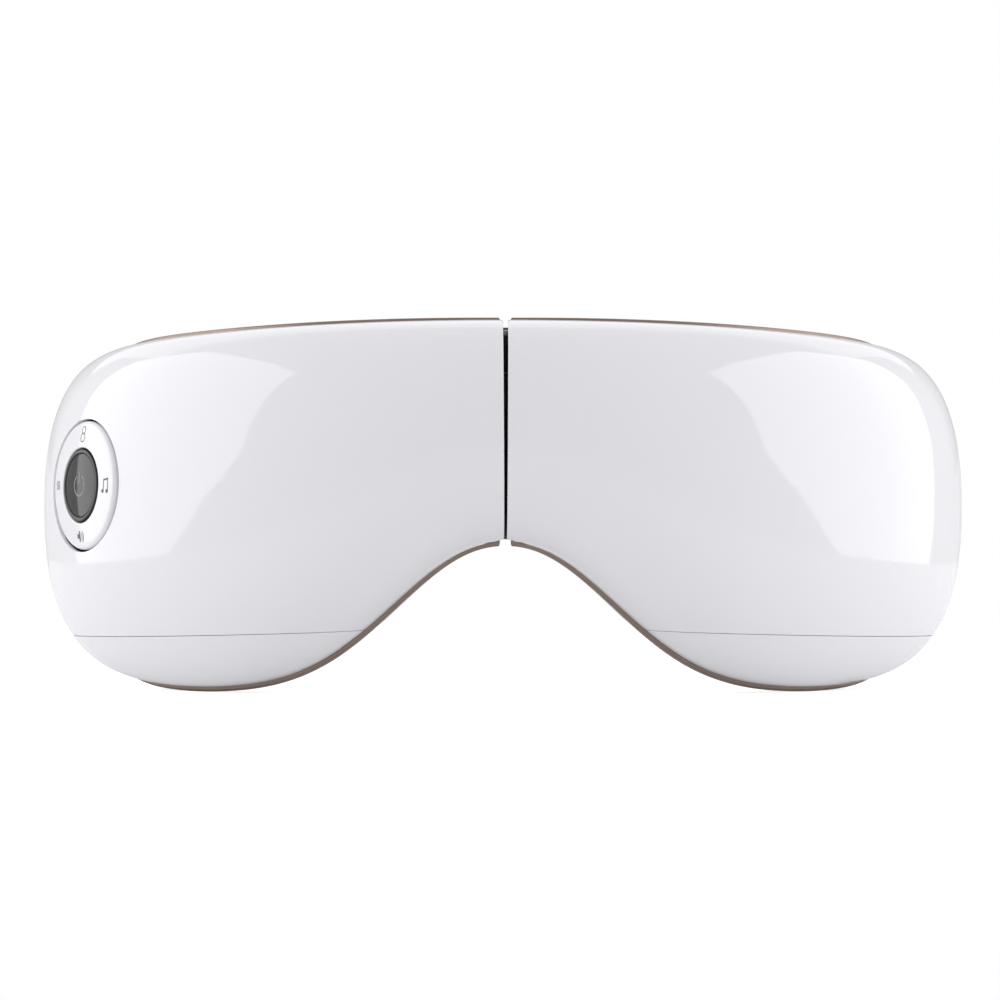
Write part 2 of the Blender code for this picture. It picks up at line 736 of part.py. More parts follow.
def eye_sheet(name, n, rings=2, segments=20):
    """A curved oval sheet over the eye, at depth n."""
    reach = PLAN_HALF_WIDTH * 0.98 + n

    def point(i, j):
        angle = 2 * math.pi * i / segments
        share = EYE_FILL * j / rings
        t = EYE_ANGLE + EYE_HALF_WIDTH * share * math.cos(angle) / reach
        spot = plan(t) + outward(t) * n
        spot.z = EYE_HEIGHT + EYE_HALF_HEIGHT * share * math.sin(angle)
        return spot

    return sheet_mesh(name, segments, rings, point)


def make_face_side(side):
    opening = (EYE_HALF_WIDTH + EYE_ROOM_SIDES, EYE_HALF_HEIGHT + EYE_ROOM_ENDS, 1.0)
    eye = cylinder_mesh("eye_room", 1.0, -20 * MM, 20 * MM, 32, opening)
    frame = axis_frame(local(EYE_ANGLE, EYE_HEIGHT, CUSHION_FRONT))
    eye_room = add_cutter(f"{side}_eye_room", eye, side, frame)
    cushion = add_part(f"{side}_face_cushion", cushion_sheet("cushion_sheet"), leather(), side)
    thicken(cushion, CUSHION_THICKNESS, -1)
    smooth(cushion)
    boolean(cushion, eye_room)
    depth = CUSHION_FRONT
    for name, thickness, look in (
        ("airbag", AIRBAG_THICKNESS, silicone()),
        ("heating_film", FILM_THICKNESS, copper_film()),
        ("eye_pad", PAD_THICKNESS, fabric()),
    ):
        piece = add_part(f"{side}_{name}", eye_sheet(f"{name}_sheet", depth), look, side)
        thicken(piece, thickness, -1)
        smooth(piece)
        depth -= thickness + GAP
    stub = cylinder_mesh("air_stub", AIR_PORT_RADIUS, -0.5 * MM, 5.5 * MM, 16)
    airbag = bpy.data.objects[f"{side}_airbag"]
    boolean(airbag, add_cutter(f"{side}_air_stub", stub, side, frame), "UNION")


def air_port_cutter(side):
    mesh = cylinder_mesh("air_port", AIR_PORT_RADIUS + GAP, -4 * MM, 8 * MM, 16)
    frame = axis_frame(local(EYE_ANGLE, EYE_HEIGHT, CUSHION_FRONT))
    return add_cutter(f"{side}_air_port", mesh, side, frame)


# --- strap loops and screws --------------------------------------------------------------------------------


def loop_frame():
    return local(LOOP_ANGLE, LOOP_HEIGHT, LOOP_FRONT - LOOP_THICKNESS / 2)


def screw_frames():
    base = loop_frame() @ Matrix.Translation((0, COUNTERBORE_DEPTH - LOOP_THICKNESS / 2, 0))
    for place, sign in (("upper", 1), ("lower", -1)):
        yield place, axis_frame(base @ Matrix.Translation((0, 0, sign * SCREW_SPACING / 2)))


def screw_cutters(side):
    """The screws' holes, and the wider ones that sink their heads in the strap loop."""
    holes, counterbores = [], []
    for place, frame in screw_frames():
        hole = cylinder_mesh("screw_hole", SCREW_RADIUS + 0.2 * MM, -MM, 8 * MM, 16)
        holes.append(add_cutter(f"{side}_screw_hole_{place}", hole, side, frame))
        room = cylinder_mesh("counterbore", COUNTERBORE_RADIUS, -COUNTERBORE_DEPTH - MM, 0, 20)
        counterbores.append(add_cutter(f"{side}_counterbore_{place}", room, side, frame))
    return holes, counterbores


def make_strap_loop(side, cutters):
    """A bracket screwed to the rear shell, with a slot past its end for the headband."""
    size = (LOOP_END - LOOP_START, LOOP_THICKNESS, LOOP_TALL)
    mesh = box_mesh("strap_loop", size, ((LOOP_START + LOOP_END) / 2, 0, 0))
    loop = add_part(f"{side}_strap_loop", mesh, dark_plastic(), side, loop_frame())
    size = (WINDOW_END - WINDOW_START, 20 * MM, WINDOW_TALL)
    window = box_mesh("strap_window", size, ((WINDOW_START + WINDOW_END) / 2, 0, 0))
    boolean(loop, add_cutter(f"{side}_strap_window", window, side, loop_frame()))
    for cutter in cutters:
        boolean(loop, cutter)


def make_screws(side):
    head = SCREW_HEAD_HEIGHT
    profile = [
        (0.0, SCREW_LENGTH),
        (SCREW_RADIUS, SCREW_LENGTH),
        (SCREW_RADIUS, -GAP / 3),
        (SCREW_HEAD_RADIUS, -GAP / 3),
        (SCREW_HEAD_RADIUS, -head * 0.6),
        (SCREW_HEAD_RADIUS * 0.7, -head),
        (0.0, -head),
    ]
    for place, frame in screw_frames():
        add_turned(f"{side}_screw_{place}", profile, steel(), side, frame, 12)


# --- insides -----------------------------------------------------------------------------------------------


def brass():
    return material("brass", (0.6, 0.45, 0.2), 0.35, 0.9)


def make_vibration_motor(side):
    frame = local(*MOTOR_PLACE)
    can = cylinder_mesh("vibration_can", MOTOR_RADIUS, 0, MOTOR_HIGH, 20)
    motor = add_part(f"{side}_vibration_motor", can, steel(), side, frame)
    bore = cylinder_mesh("motor_bore", MOTOR_BORE_RADIUS, MOTOR_BORE_LOW, MOTOR_HIGH + MM, 12)
    boolean(motor, add_cutter(f"{side}_motor_bore", bore, side, frame))
    weight = cylinder_mesh("weight_disc", WEIGHT_RADIUS, WEIGHT_LOW, WEIGHT_HIGH, 20)
    rotor = add_part(f"{side}_vibration_weight", weight, brass(), side, frame)
    size = 10 * MM
    middle = (0, WEIGHT_CUT + size / 2, (WEIGHT_LOW + WEIGHT_HIGH) / 2)
    half = box_mesh("weight_half", (size, size, size), middle)
    boolean(rotor, add_cutter(f"{side}_weight_half", half, side, frame))
    shaft = cylinder_mesh("weight_shaft", WEIGHT_SHAFT_RADIUS, WEIGHT_SHAFT_LOW, WEIGHT_HIGH, 12)
    boolean(rotor, add_cutter(f"{side}_weight_shaft", shaft, side, frame), "UNION")


def make_speaker(side):
    profile = [
        (0.0, SPEAKER_CONE),
        (SPEAKER_CONE_RADIUS, SPEAKER_FRONT),
        (SPEAKER_RADIUS, SPEAKER_FRONT),
        (SPEAKER_RADIUS, SPEAKER_RIM),
        (SPEAKER_MAGNET_RADIUS, SPEAKER_RIM),
        (SPEAKER_MAGNET_RADIUS, SPEAKER_BACK),
        (0.0, SPEAKER_BACK),
    ]
    frame = axis_frame(local(*SPEAKER_PLACE))
    add_turned(f"{side}_speaker", profile, dark_plastic(), side, frame, 24)


def make_boards():
    main = box_mesh("main_board", MAIN_BOARD_SIZE)
    add_part("main_board", main, circuit_green(), RIGHT, local(*MAIN_BOARD_PLACE))
    power = box_mesh("power_board", POWER_BOARD_SIZE)
    add_part("power_board", power, circuit_green(), LEFT, local(*POWER_BOARD_PLACE))
    battery = box_mesh("battery", BATTERY_SIZE)
    pack = add_part("battery_pack", battery, battery_wrap(), LEFT, local(*BATTERY_PLACE))
    bevel = pack.modifiers.new("edges", "BEVEL")
    bevel.width = BATTERY_EDGE
    bevel.segments = 2


def make_pump():
    """A small motor that turns a crank under a pump head, all on one vertical axis."""
    frame = local(*PUMP_PLACE)
    can = cylinder_mesh("pump_can", PUMP_MOTOR_RADIUS, 0, PUMP_MOTOR_HIGH, 24)
    motor = add_part("pump_motor", can, steel(), LEFT, frame)
    bore = cylinder_mesh("pump_bore", PUMP_BORE_RADIUS, PUMP_BORE_LOW, PUMP_MOTOR_HIGH + MM, 12)
    boolean(motor, add_cutter("pump_bore", bore, LEFT, frame))
    disc = cylinder_mesh("crank_disc", CRANK_RADIUS, CRANK_LOW, CRANK_HIGH, 20)
    crank = add_part("pump_crank", disc, steel(), LEFT, frame)
    inside = CRANK_HIGH - MM
    shaft = cylinder_mesh("crank_shaft", CRANK_SHAFT_RADIUS, CRANK_SHAFT_LOW, inside, 12)
    boolean(crank, add_cutter("crank_shaft", shaft, LEFT, frame), "UNION")
    pin = cylinder_mesh("crank_pin", CRANK_PIN_RADIUS, inside, CRANK_PIN_HIGH, 12)
    pin_frame = frame @ Matrix.Translation((CRANK_THROW, 0, 0))
    boolean(crank, add_cutter("crank_pin", pin, LEFT, pin_frame), "UNION")
    head = box_mesh("pump_head", PUMP_HEAD_SIZE, (0, 0, PUMP_HEAD_HEIGHT))
    block = add_part("pump_head", head, dark_plastic(), LEFT, frame)
    for number, sign in enumerate((-1, 1)):
        post = box_mesh("pump_post", PUMP_POST_SIZE, (sign * PUMP_POST_OFFSET, 0, PUMP_POST_HEIGHT))
        boolean(block, add_cutter(f"pump_post_{number}", post, LEFT, frame), "UNION")


def make_valve():
    frame = local(*VALVE_PLACE)
    body = cylinder_mesh("valve_body", VALVE_RADIUS, 0, VALVE_HIGH, 20)
    valve = add_part("air_valve", body, steel(), LEFT, frame)
    bore = cylinder_mesh("valve_bore", VALVE_BORE_RADIUS, VALVE_BORE_LOW, VALVE_HIGH + MM, 16)
    boolean(valve, add_cutter("valve_bore", bore, LEFT, frame))
    profile = [
        (0.0, PLUNGER_HEAD_HIGH),
        (PLUNGER_HEAD_RADIUS, PLUNGER_HEAD_HIGH),
        (PLUNGER_HEAD_RADIUS, PLUNGER_HEAD_LOW),
        (PLUNGER_RADIUS, PLUNGER_HEAD_LOW),
        (PLUNGER_RADIUS, PLUNGER_LOW),
        (0.0, PLUNGER_LOW),
    ]
    add_turned("valve_plunger", profile, steel(), LEFT, frame, 16)


def make_charging_port(panel):
    """A metal socket that opens downwards in the left lower panel, beside the temple."""
    frame = local(*PORT_PLACE)
    width, depth, height = PORT_SIZE
    room = box_mesh("port_room", (width + 0.8 * MM, depth + 0.8 * MM, 20 * MM), (0, 0, -6 * MM))
    boolean(panel, add_cutter("port_room", room, LEFT, frame))
    shell = box_mesh("port_shell", PORT_SIZE, (0, 0, PORT_HEIGHT))
    port = add_part("charging_port", shell, steel(), LEFT, frame)
    inner = (width - 2 * PORT_WALL, depth - 2 * PORT_WALL, PORT_MOUTH_DEPTH)
    mouth = box_mesh("port_mouth", inner, (0, 0, PORT_HEIGHT - height / 4))
    boolean(port, add_cutter("port_mouth", mouth, LEFT, frame))


def spline_through(points, steps):
    """A smooth curve through the points, as a list of places."""
    ends = [points[0], *points, points[-1]]
    run = []
    for a, b, c, d in zip(ends, ends[1:], ends[2:], ends[3:]):
        bend = 2 * a - 5 * b + 4 * c - d
        twist = 3 * b - a - 3 * c + d
        for k in range(steps):
            s = k / steps
            run.append(0.5 * (2 * b + (c - a) * s + bend * s * s + twist * s**3))
    return run + [points[-1]]


def make_hose(name, side, route):
    points = [local(math.radians(t), z * MM, n * MM).translation for t, z, n in route]
    curve = bpy.data.curves.new(name, "CURVE")
    curve.dimensions = "3D"
    curve.bevel_depth = HOSE_RADIUS
    curve.bevel_resolution = 2
    curve.use_fill_caps = True
    spline = curve.splines.new("POLY")
    path = spline_through(points, 3)
    spline.points.add(len(path) - 1)
    for target, place in zip(spline.points, path):
        target.co = (*place, 1)
    add_part(name, curve, silicone(), side)


# --- assembly ----------------------------------------------------------------------------------------------


def build():
    clear_scene()
    add_empty("right_half", Vector((0, 0, 0)))
    add_empty("left_half", hinge_location())
    hinge_room = hinge_cutter()
    for side in (RIGHT, LEFT):
        shell, panel = make_front(side, hinge_room)
        if side == RIGHT:
            boolean(shell, dial_cutter())
        else:
            make_charging_port(panel)
        make_trim(side)
        holes, counterbores = screw_cutters(side)
        make_rear(side, [hinge_room, air_port_cutter(side), *holes])
        make_hinge_bracket(side)
        make_face_side(side)
        make_strap_loop(side, holes + counterbores)
        make_screws(side)
        make_vibration_motor(side)
        make_speaker(side)
        make_hose(f"{side}_air_hose", side, HOSE_ROUTES[side])
    make_hinge_pin()
    make_dial()
    make_boards()
    make_pump()
    make_valve()


build()
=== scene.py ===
"""The looks of a foldable eye massager mask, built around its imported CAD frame.

The frame is metres with +Z up, the front of the mask faces -Y and the wearer's right half lies at -X.
Each half is described once, on the right, along a plan ellipse: t is the angle along it from the nose
to the temple, n is the distance from it (negative is inwards, towards the face) and z is the height.
The left half is its mirror.
"""

import bisect
import contextlib
import json
import math

import bmesh
import bpy
from mathutils import Matrix, Vector, noise
from mathutils.bvhtree import BVHTree

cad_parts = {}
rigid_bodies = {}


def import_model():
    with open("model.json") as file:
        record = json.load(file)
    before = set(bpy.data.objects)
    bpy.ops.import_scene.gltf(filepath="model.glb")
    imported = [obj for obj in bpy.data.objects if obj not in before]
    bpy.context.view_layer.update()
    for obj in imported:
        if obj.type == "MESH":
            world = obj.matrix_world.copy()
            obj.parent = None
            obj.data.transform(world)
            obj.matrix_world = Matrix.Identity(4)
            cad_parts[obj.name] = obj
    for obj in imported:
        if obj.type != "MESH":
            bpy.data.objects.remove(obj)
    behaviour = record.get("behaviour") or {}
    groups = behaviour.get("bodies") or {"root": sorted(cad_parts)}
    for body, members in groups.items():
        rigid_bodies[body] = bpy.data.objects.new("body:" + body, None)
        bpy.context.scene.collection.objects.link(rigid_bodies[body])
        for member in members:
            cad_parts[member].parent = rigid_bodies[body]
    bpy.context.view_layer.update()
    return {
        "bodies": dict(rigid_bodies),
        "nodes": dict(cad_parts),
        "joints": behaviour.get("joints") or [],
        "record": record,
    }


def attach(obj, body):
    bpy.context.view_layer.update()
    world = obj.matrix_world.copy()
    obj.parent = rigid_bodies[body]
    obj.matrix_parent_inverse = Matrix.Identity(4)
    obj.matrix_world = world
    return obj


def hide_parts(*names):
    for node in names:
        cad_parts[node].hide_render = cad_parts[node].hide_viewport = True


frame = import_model()

MM = 0.001
RIGHT, LEFT = "right", "left"

# The mask's surface, as in the CAD source
ORIGIN_SHIFT = Vector((0, 32.127, -1.4)) * MM
PLAN_HALF_WIDTH = 104.2 * MM
PLAN_DEPTH = 83.0 * MM
TEMPLE_END = math.radians(98)
TEMPLE_HEIGHT = 41.5 * MM
TOP_HEIGHT = 80.9 * MM
TOP_DROP = 3.2 * MM
LOBE_HEIGHT = 2.1 * MM
NOSE_ARCH = 31.7 * MM
NOSE_WIDTH = 31.6 * MM
NOSE_POWER = 2.16
SHELL_DEPTH = 17.0 * MM
SECTION_POWER = 2.35
TOP_CLOSING = (math.radians(45), 3.35)
BOTTOM_CLOSING = (math.radians(36.5), 2.68)
CROWN_CLOSING = (math.radians(71), 2.1)
SEAM_GAP_BOTTOM, SEAM_GAP_TOP = 0.26 * MM, 0.52 * MM
SEAM_WALL_DEPTH = 11.0 * MM
SEAM_ROUND = 0.35 * MM
# Painted shade on the seam walls, a flat black standing in for the shadow in the gap: how far behind the
# front it starts, how far from the middle and how high it reaches
SEAM_PAINTED_SHADE_DEPTH, SEAM_PAINTED_SHADE_WIDTH, SEAM_PAINTED_SHADE_TOP = 0.6 * MM, 0.8 * MM, 77.8 * MM
PANEL_LINE_HEIGHT, PANEL_LINE_X = 15.3 * MM, -29.0 * MM
PANEL_LINE_SLOPE = math.radians(2.0)
PANEL_GAP = 0.16 * MM
BACKING_DEPTH, BACKING_HALF_WIDTH, BACKING_WALL = 1.35 * MM, 0.05, 0.4 * MM
SHELL_WALL = 0.85 * MM
EDGE_ROUND = 0.22 * MM
TRIM_FRONT, TRIM_BACK = -17.3 * MM, -20.0 * MM
TRIM_WALL = 2.8 * MM
TRIM_LIP_REACH, TRIM_LIP_THICKNESS = 1.6 * MM, 0.6 * MM
TRIM_PROUD_TOP, TRIM_PROUD_BOTTOM = 0.5 * MM, 0.75 * MM
TRIM_PROUD_MORE, TRIM_PROUD_REACH = 0.4 * MM, math.radians(60)
TRIM_FOLD_CLEARANCE, TRIM_FOLD_ANGLE = 0.15 * MM, math.radians(37.6)
REAR_FRONT, REAR_BACK = -20.8 * MM, -25.0 * MM
REAR_POWER, REAR_TALL, REAR_DEEP = 8.0, 36 * MM, 4.2 * MM
REAR_INSET = 0.4 * MM
REAR_CLOSING = (math.radians(80), 2.5)
REAR_WALL = 1.4 * MM
REAR_FOLD_CLEARANCE = 0.75 * MM
CUSHION_FRONT = -25.3 * MM
CUSHION_THICKNESS = 6.4 * MM
CUSHION_INSET = 4.0 * MM
CUSHION_START_X = 14.5 * MM
CUSHION_END = math.radians(82)
EYE_ANGLE, EYE_HEIGHT = math.radians(27), 52.0 * MM
EYE_HALF_WIDTH, EYE_HALF_HEIGHT = 21.0 * MM, 15.5 * MM
EYE_ROOM = 0.9 * MM
CUSHION_MIDDLE = CUSHION_FRONT - CUSHION_THICKNESS / 2
CUSHION_DRAWN = 10 * MM
CUSHION_STATIONS, CUSHION_ROWS = 240, 26
INNER_ROUND, OUTER_ROUND = 3.0 * MM, 5.0 * MM
INNER_SEAM, OUTER_SEAM, SEAM_DEPTH, PUCKERS = 3.4 * MM, 6.2 * MM, 0.6 * MM, 62
FULL_ROW, THINNEST_RIM, CROWN_RISE = 14 * MM, 2.2 * MM, 1.3 * MM
SEAM_WIDTH, PUCKER_DEPTH = 0.42 * MM, 0.10 * MM
AIRBAG_FRONT, AIRBAG_THICKNESS = -25.3 * MM, 3.2 * MM
FILM_FRONT, FILM_THICKNESS = -28.8 * MM, 0.6 * MM
PAD_FRONT, PAD_THICKNESS = -29.7 * MM, 1.6 * MM
HINGE_DEPTH = -16.0 * MM
HINGE_CLEARANCE_RADIUS, HINGE_ROOM = 4.5 * MM, (20 * MM, 78.8 * MM)
FOLD_HALF_ANGLE = math.radians(41)
HINGE_RADIUS, HINGE_BORE_RADIUS = 4.0 * MM, 1.58 * MM
LEAF_INNER, LEAF_OUTER, LEAF_THICKNESS = 5.0 * MM, 17.0 * MM, 2.0 * MM
KNUCKLES = {
    RIGHT: ((35.8 * MM, 43.3 * MM), (53.0 * MM, 60.0 * MM), (69.7 * MM, 77.3 * MM)),
    LEFT: ((44.7 * MM, 52.7 * MM), (60.3 * MM, 68.3 * MM)),
}

# Control dial, along its axis
DIAL_ANGLE, DIAL_HEIGHT = math.radians(62), 46.0 * MM
DIAL_TURN, DIAL_LEAN = math.radians(2), math.radians(2)
DIAL_DOME_RADIUS = 78.0 * MM
DIAL_HOLE_RADIUS, DIAL_ROOM = 14.5 * MM, (-8 * MM, 8 * MM)
RING_OUTER, RING_INNER = 14.0 * MM, 8.15 * MM
RING_CROWN, RING_BACK = 0.4 * MM, -3.8 * MM
BUTTON_RADIUS, BUTTON_CROWN, BUTTON_BACK = 7.8 * MM, 0.5 * MM, -4.0 * MM
STEM_RADIUS, STEM_BACK = 2.4 * MM, -6.4 * MM

# Strap loops, screws and charging port
LOOP_ANGLE, LOOP_HEIGHT, LOOP_FRONT = math.radians(92), 44.0 * MM, -25.9 * MM
LOOP_THICKNESS = 2.6 * MM
LOOP_START, LOOP_END, LOOP_TALL = -5.0 * MM, 17.0 * MM, 32.0 * MM
WINDOW_START, WINDOW_END, WINDOW_TALL = 8.8 * MM, 14.0 * MM, 26.0 * MM
SCREW_SPACING, SCREW_RADIUS, SCREW_HEAD_RADIUS = 20.0 * MM, 0.9 * MM, 1.8 * MM
SCREW_HEAD_HEIGHT, SCREW_LENGTH = 1.1 * MM, 4.6 * MM
COUNTERBORE_RADIUS, COUNTERBORE_DEPTH = 2.1 * MM, 1.4 * MM
PORT_PLACE = (math.radians(55), 10.4 * MM, -14.2 * MM)
PORT_WIDTH, PORT_DEPTH = 9.0 * MM, 3.4 * MM
PORT_LOW, PORT_HIGH = -5.6 * MM, 0.8 * MM
PORT_GAP, PORT_ROOM = 0.5 * MM, (-12 * MM, 4 * MM)
PORT_WALL, TONGUE_SIZE = 0.4 * MM, (6.4 * MM, 0.7 * MM, 4.6 * MM)

# How many columns, rows and stations the sheets have
SHELL_COLUMNS, SHELL_TURNS, SHELL_STATIONS = 92, 5, 104
PANEL_COLUMNS, PANEL_ROWS = 26, 90
BACKING_COLUMNS, BACKING_ROWS = 4, 70
TRIM_ROWS = 260
REAR_COLUMNS, REAR_STATIONS = 90, 96
PAD_RINGS, PAD_AROUND = 34, 128


# The mask's surface


def clamped(value):
    return min(1.0, max(0.0, value))


def halved(low, high, below, steps=40):
    """Closes in on where below turns from true to false, and returns the two ends that are left."""
    for _ in range(steps):
        middle = (low + high) / 2
        if below(middle):
            low = middle
        else:
            high = middle
    return low, high


def plan(t):
    return Vector((-PLAN_HALF_WIDTH * math.sin(t), -PLAN_DEPTH * math.cos(t), 0))


def outward(t):
    return Vector((-math.sin(t) / PLAN_HALF_WIDTH, -math.cos(t) / PLAN_DEPTH, 0)).normalized()


def on_plan(t, n, z=0.0):
    return plan(t) + outward(t) * n + Vector((0, 0, z))


def closing(t, start, power, end=TEMPLE_END):
    """1 along the mask, falling to 0 in a round curve at the temple end."""
    run = clamped((t - start) / (end - start))
    return max(0.0, 1 - run**power) ** (1 / power)


def temple_end(inset):
    return TEMPLE_END - inset / PLAN_HALF_WIDTH


def rim_x(t):
    return abs(plan(t).x - outward(t).x * SHELL_DEPTH)


def top_edge(t):
    return TOP_HEIGHT - TOP_DROP * (rim_x(t) / 0.075) ** 2.2


def bottom_edge(t):
    return LOBE_HEIGHT + NOSE_ARCH * math.exp(-((rim_x(t) / NOSE_WIDTH) ** NOSE_POWER))


def rim(t, inset=0.0):
    """The heights of the bottom and top edges, drawn in by inset."""
    end = temple_end(inset)
    top = (top_edge(t) - inset - TEMPLE_HEIGHT) * closing(t, *TOP_CLOSING, end)
    bottom = (bottom_edge(t) + inset - TEMPLE_HEIGHT) * closing(t, *BOTTOM_CLOSING, end)
    return TEMPLE_HEIGHT + bottom, TEMPLE_HEIGHT + top


def sheet_point(t, height, bulge, front, back, crown, inset=0.0):
    """A point on a bulged sheet: height runs from -1 at the bottom to 1 at the top, bulge from 0 to 1."""
    bottom, top = rim(t, inset)
    reach = bulge * closing(t, *crown, temple_end(inset))
    return on_plan(t, front + (back - front) * reach, (bottom + top) / 2 + height * (top - bottom) / 2)


def section_at(angle, power):
    """(height, bulge) on a rounded section, from its bottom edge at -90 degrees to its top at 90."""
    height = math.copysign(abs(math.sin(angle)) ** (2 / power), angle)
    return height, max(0.0, math.cos(angle)) ** (2 / power)


def front_point(t, w):
    """A point of the front shell: w runs from -1 on its bottom edge to 1 on its top."""
    return sheet_point(t, *section_at(w * math.pi / 2, SECTION_POWER), -SHELL_DEPTH, 0.0, CROWN_CLOSING)


def even_section(power, count, tall, deep):
    """(height, bulge) pairs spread evenly along a flat section that is tall and deep."""
    run = [section_at(math.pi * (k / 4000 - 0.5), power) for k in range(4001)]
    return resampled(run, count, lambda a, b: math.hypot((a[0] - b[0]) * tall, (a[1] - b[1]) * deep))


def resampled(points, count, gap=math.dist):
    """count + 1 points spread evenly along a run of points. gap gives the length between two of them."""
    lengths = [0.0]
    for a, b in zip(points, points[1:]):
        lengths.append(lengths[-1] + gap(a, b))
    made, k = [], 0
    for i in range(count + 1):
        want = lengths[-1] * i / count
        while k < len(points) - 2 and lengths[k + 1] < want:
            k += 1
        share = clamped((want - lengths[k]) / max(lengths[k + 1] - lengths[k], 1e-12))
        made.append(tuple(x + (y - x) * share for x, y in zip(points[k], points[k + 1])))
    return made


def seam_gap(z):
    low, _ = rim(0)
    return SEAM_GAP_BOTTOM + (SEAM_GAP_TOP - SEAM_GAP_BOTTOM) * clamped((z - low) / (TOP_HEIGHT - low))


def angle_at(x, n):
    """The plan angle where a sheet at depth n lies x from the seam plane."""
    return halved(0.0, math.radians(60), lambda t: -on_plan(t, n).x < x)[0]


def local(t, z, n):
    """A frame on the plan curve: X towards the temple, Y outwards, Z up."""
    normal = outward(t)
    along = normal.cross(Vector((0, 0, 1)))
    made = Matrix((along, normal, (0, 0, 1))).transposed().to_4x4()
    made.translation = on_plan(t, n, z)
    return made


def axis_frame(made):
    """The same place with Z turned outwards and Y up, for what is turned about the outward axis."""
    return made @ Matrix.Rotation(-math.pi / 2, 4, "X") @ Matrix.Rotation(math.pi, 4, "Z")


def dial_frame():
    points = [front_point(DIAL_ANGLE, i / 500) for i in range(-400, 401)]
    made = local(DIAL_ANGLE, 0, 0)
    made.translation = min(points, key=lambda point: abs(point.z - DIAL_HEIGHT))
    turned = made @ Matrix.Rotation(-DIAL_TURN, 4, "Z") @ Matrix.Rotation(DIAL_LEAN, 4, "X")
    return axis_frame(turned)


def placed(side, made=None):
    """Where something described in the right half's frame lies, on the side that it is made for."""
    mirror = Matrix.Diagonal((1 if side == RIGHT else -1, 1, 1, 1))
    return Matrix.Translation(ORIGIN_SHIFT) @ mirror @ (made or Matrix.Identity(4))


def hinge_frame():
    return Matrix.Translation((0, -PLAN_DEPTH - HINGE_DEPTH, 0))


# Making pieces


def to_mesh(bm):
    mesh = bpy.data.meshes.new("mesh")
    bm.to_mesh(mesh)
    bm.free()
    return mesh


@contextlib.contextmanager
def edited(mesh):
    """The mesh as a bmesh, written back at the end."""
    bm = bmesh.new()
    bm.from_mesh(mesh)
    yield bm
    bm.to_mesh(mesh)
    bm.free()


def outwards(mesh):
    with edited(mesh) as bm:
        bmesh.ops.recalc_face_normals(bm, faces=bm.faces)
    return mesh


def filled(mesh):
    """The mesh with its open ends filled and its faces turned outwards."""
    with edited(mesh) as bm:
        bmesh.ops.holes_fill(bm, edges=[e for e in bm.edges if e.is_boundary], sides=0)
        bmesh.ops.recalc_face_normals(bm, faces=bm.faces)
    return mesh


def new_object(name, mesh, matrix=None):
    """An object whose mesh is already in its place, so that its own matrix stays the identity."""
    if matrix is not None:
        mesh.transform(matrix)
        if matrix.determinant() < 0:
            mesh.flip_normals()
    made = bpy.data.objects.new(name, mesh)
    bpy.context.scene.collection.objects.link(made)
    return made


def sided(side, name, mesh, made=None):
    """A new object on one side of the mask, from a mesh described in the right half's frame."""
    return new_object(f"{side}_{name}", mesh, placed(side, made))


def modify(obj, kind, **settings):
    modifier = obj.modifiers.new(kind.lower(), kind)
    for key, value in settings.items():
        setattr(modifier, key, value)


def dress(obj, look, slot, angle=35):
    """Gives the object its look, and shades it smooth up to the angle. slot is not used."""
    obj.data.materials.clear()
    obj.data.materials.append(LOOKS[look])
    obj.data.shade_smooth()
    obj.data.set_sharp_from_angle(angle=math.radians(angle))


def finish(obj, look, body, *replaced, slot=None, angle=35, weighted=False):
    """Applies the modifiers, gives the piece its look and its body, and hides the nodes it replaces."""
    if weighted:
        obj.data.shade_smooth()
    bpy.context.view_layer.update()
    graph = bpy.context.evaluated_depsgraph_get()
    mesh = bpy.data.meshes.new_from_object(obj.evaluated_get(graph))
    obj.modifiers.clear()
    old, obj.data = obj.data, mesh
    bpy.data.meshes.remove(old)
    mesh.name = obj.name
    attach(obj, body)
    dress(obj, look, slot or look, angle)
    if weighted:
        modify(obj, "WEIGHTED_NORMAL", keep_sharp=True, weight=100)
    if replaced:
        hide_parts(*replaced)


def half(side):
    return f"{side}_half"


CUTTERS = []


def cut(obj, side, name, mesh, made):
    """Takes a mesh described in the right half's frame away from the object."""
    cutter = sided(side, name, mesh, made)
    cutter.hide_render = True
    CUTTERS.append(cutter)
    modify(obj, "BOOLEAN", operation="DIFFERENCE", object=cutter)


def drop_cutters():
    for made in CUTTERS:
        bpy.data.objects.remove(made)


def grid_mesh(columns, rows, point, closed_columns=False, closed_rows=False):
    """A grid of faces whose vertex in column i and row j lies at point(i, j)."""
    across = columns + (not closed_columns)
    down = rows + (not closed_rows)
    bm = bmesh.new()
    verts = [[bm.verts.new(point(i, j)) for i in range(across)] for j in range(down)]
    for j in range(rows):
        for i in range(columns):
            a, b = verts[j][i], verts[j][(i + 1) % across]
            c, d = verts[(j + 1) % down][(i + 1) % across], verts[(j + 1) % down][i]
            bm.faces.new((a, b, c, d))
    bmesh.ops.remove_doubles(bm, verts=bm.verts, dist=3e-6)
    bmesh.ops.dissolve_degenerate(bm, edges=bm.edges, dist=2e-6)
    return to_mesh(bm)


def add_peg(bm, radius, depth, segments, place):
    bmesh.ops.create_cone(
        bm, cap_ends=True, segments=segments, radius1=radius, radius2=radius, depth=depth,
        matrix=Matrix.Translation(place),
    )


def cylinder_mesh(radius, low, high, segments):
    bm = bmesh.new()
    add_peg(bm, radius, high - low, segments, (0, 0, (low + high) / 2))
    return to_mesh(bm)


def box_mesh(size, centre, radius=0.0, segments=3):
    bm = bmesh.new()
    bmesh.ops.create_cube(bm, size=1.0)
    bmesh.ops.scale(bm, vec=size, verts=bm.verts)
    if radius:
        bmesh.ops.bevel(bm, geom=bm.edges, offset=radius, segments=segments, profile=0.5, affect="EDGES")
    bmesh.ops.translate(bm, vec=centre, verts=bm.verts)
    return to_mesh(bm)


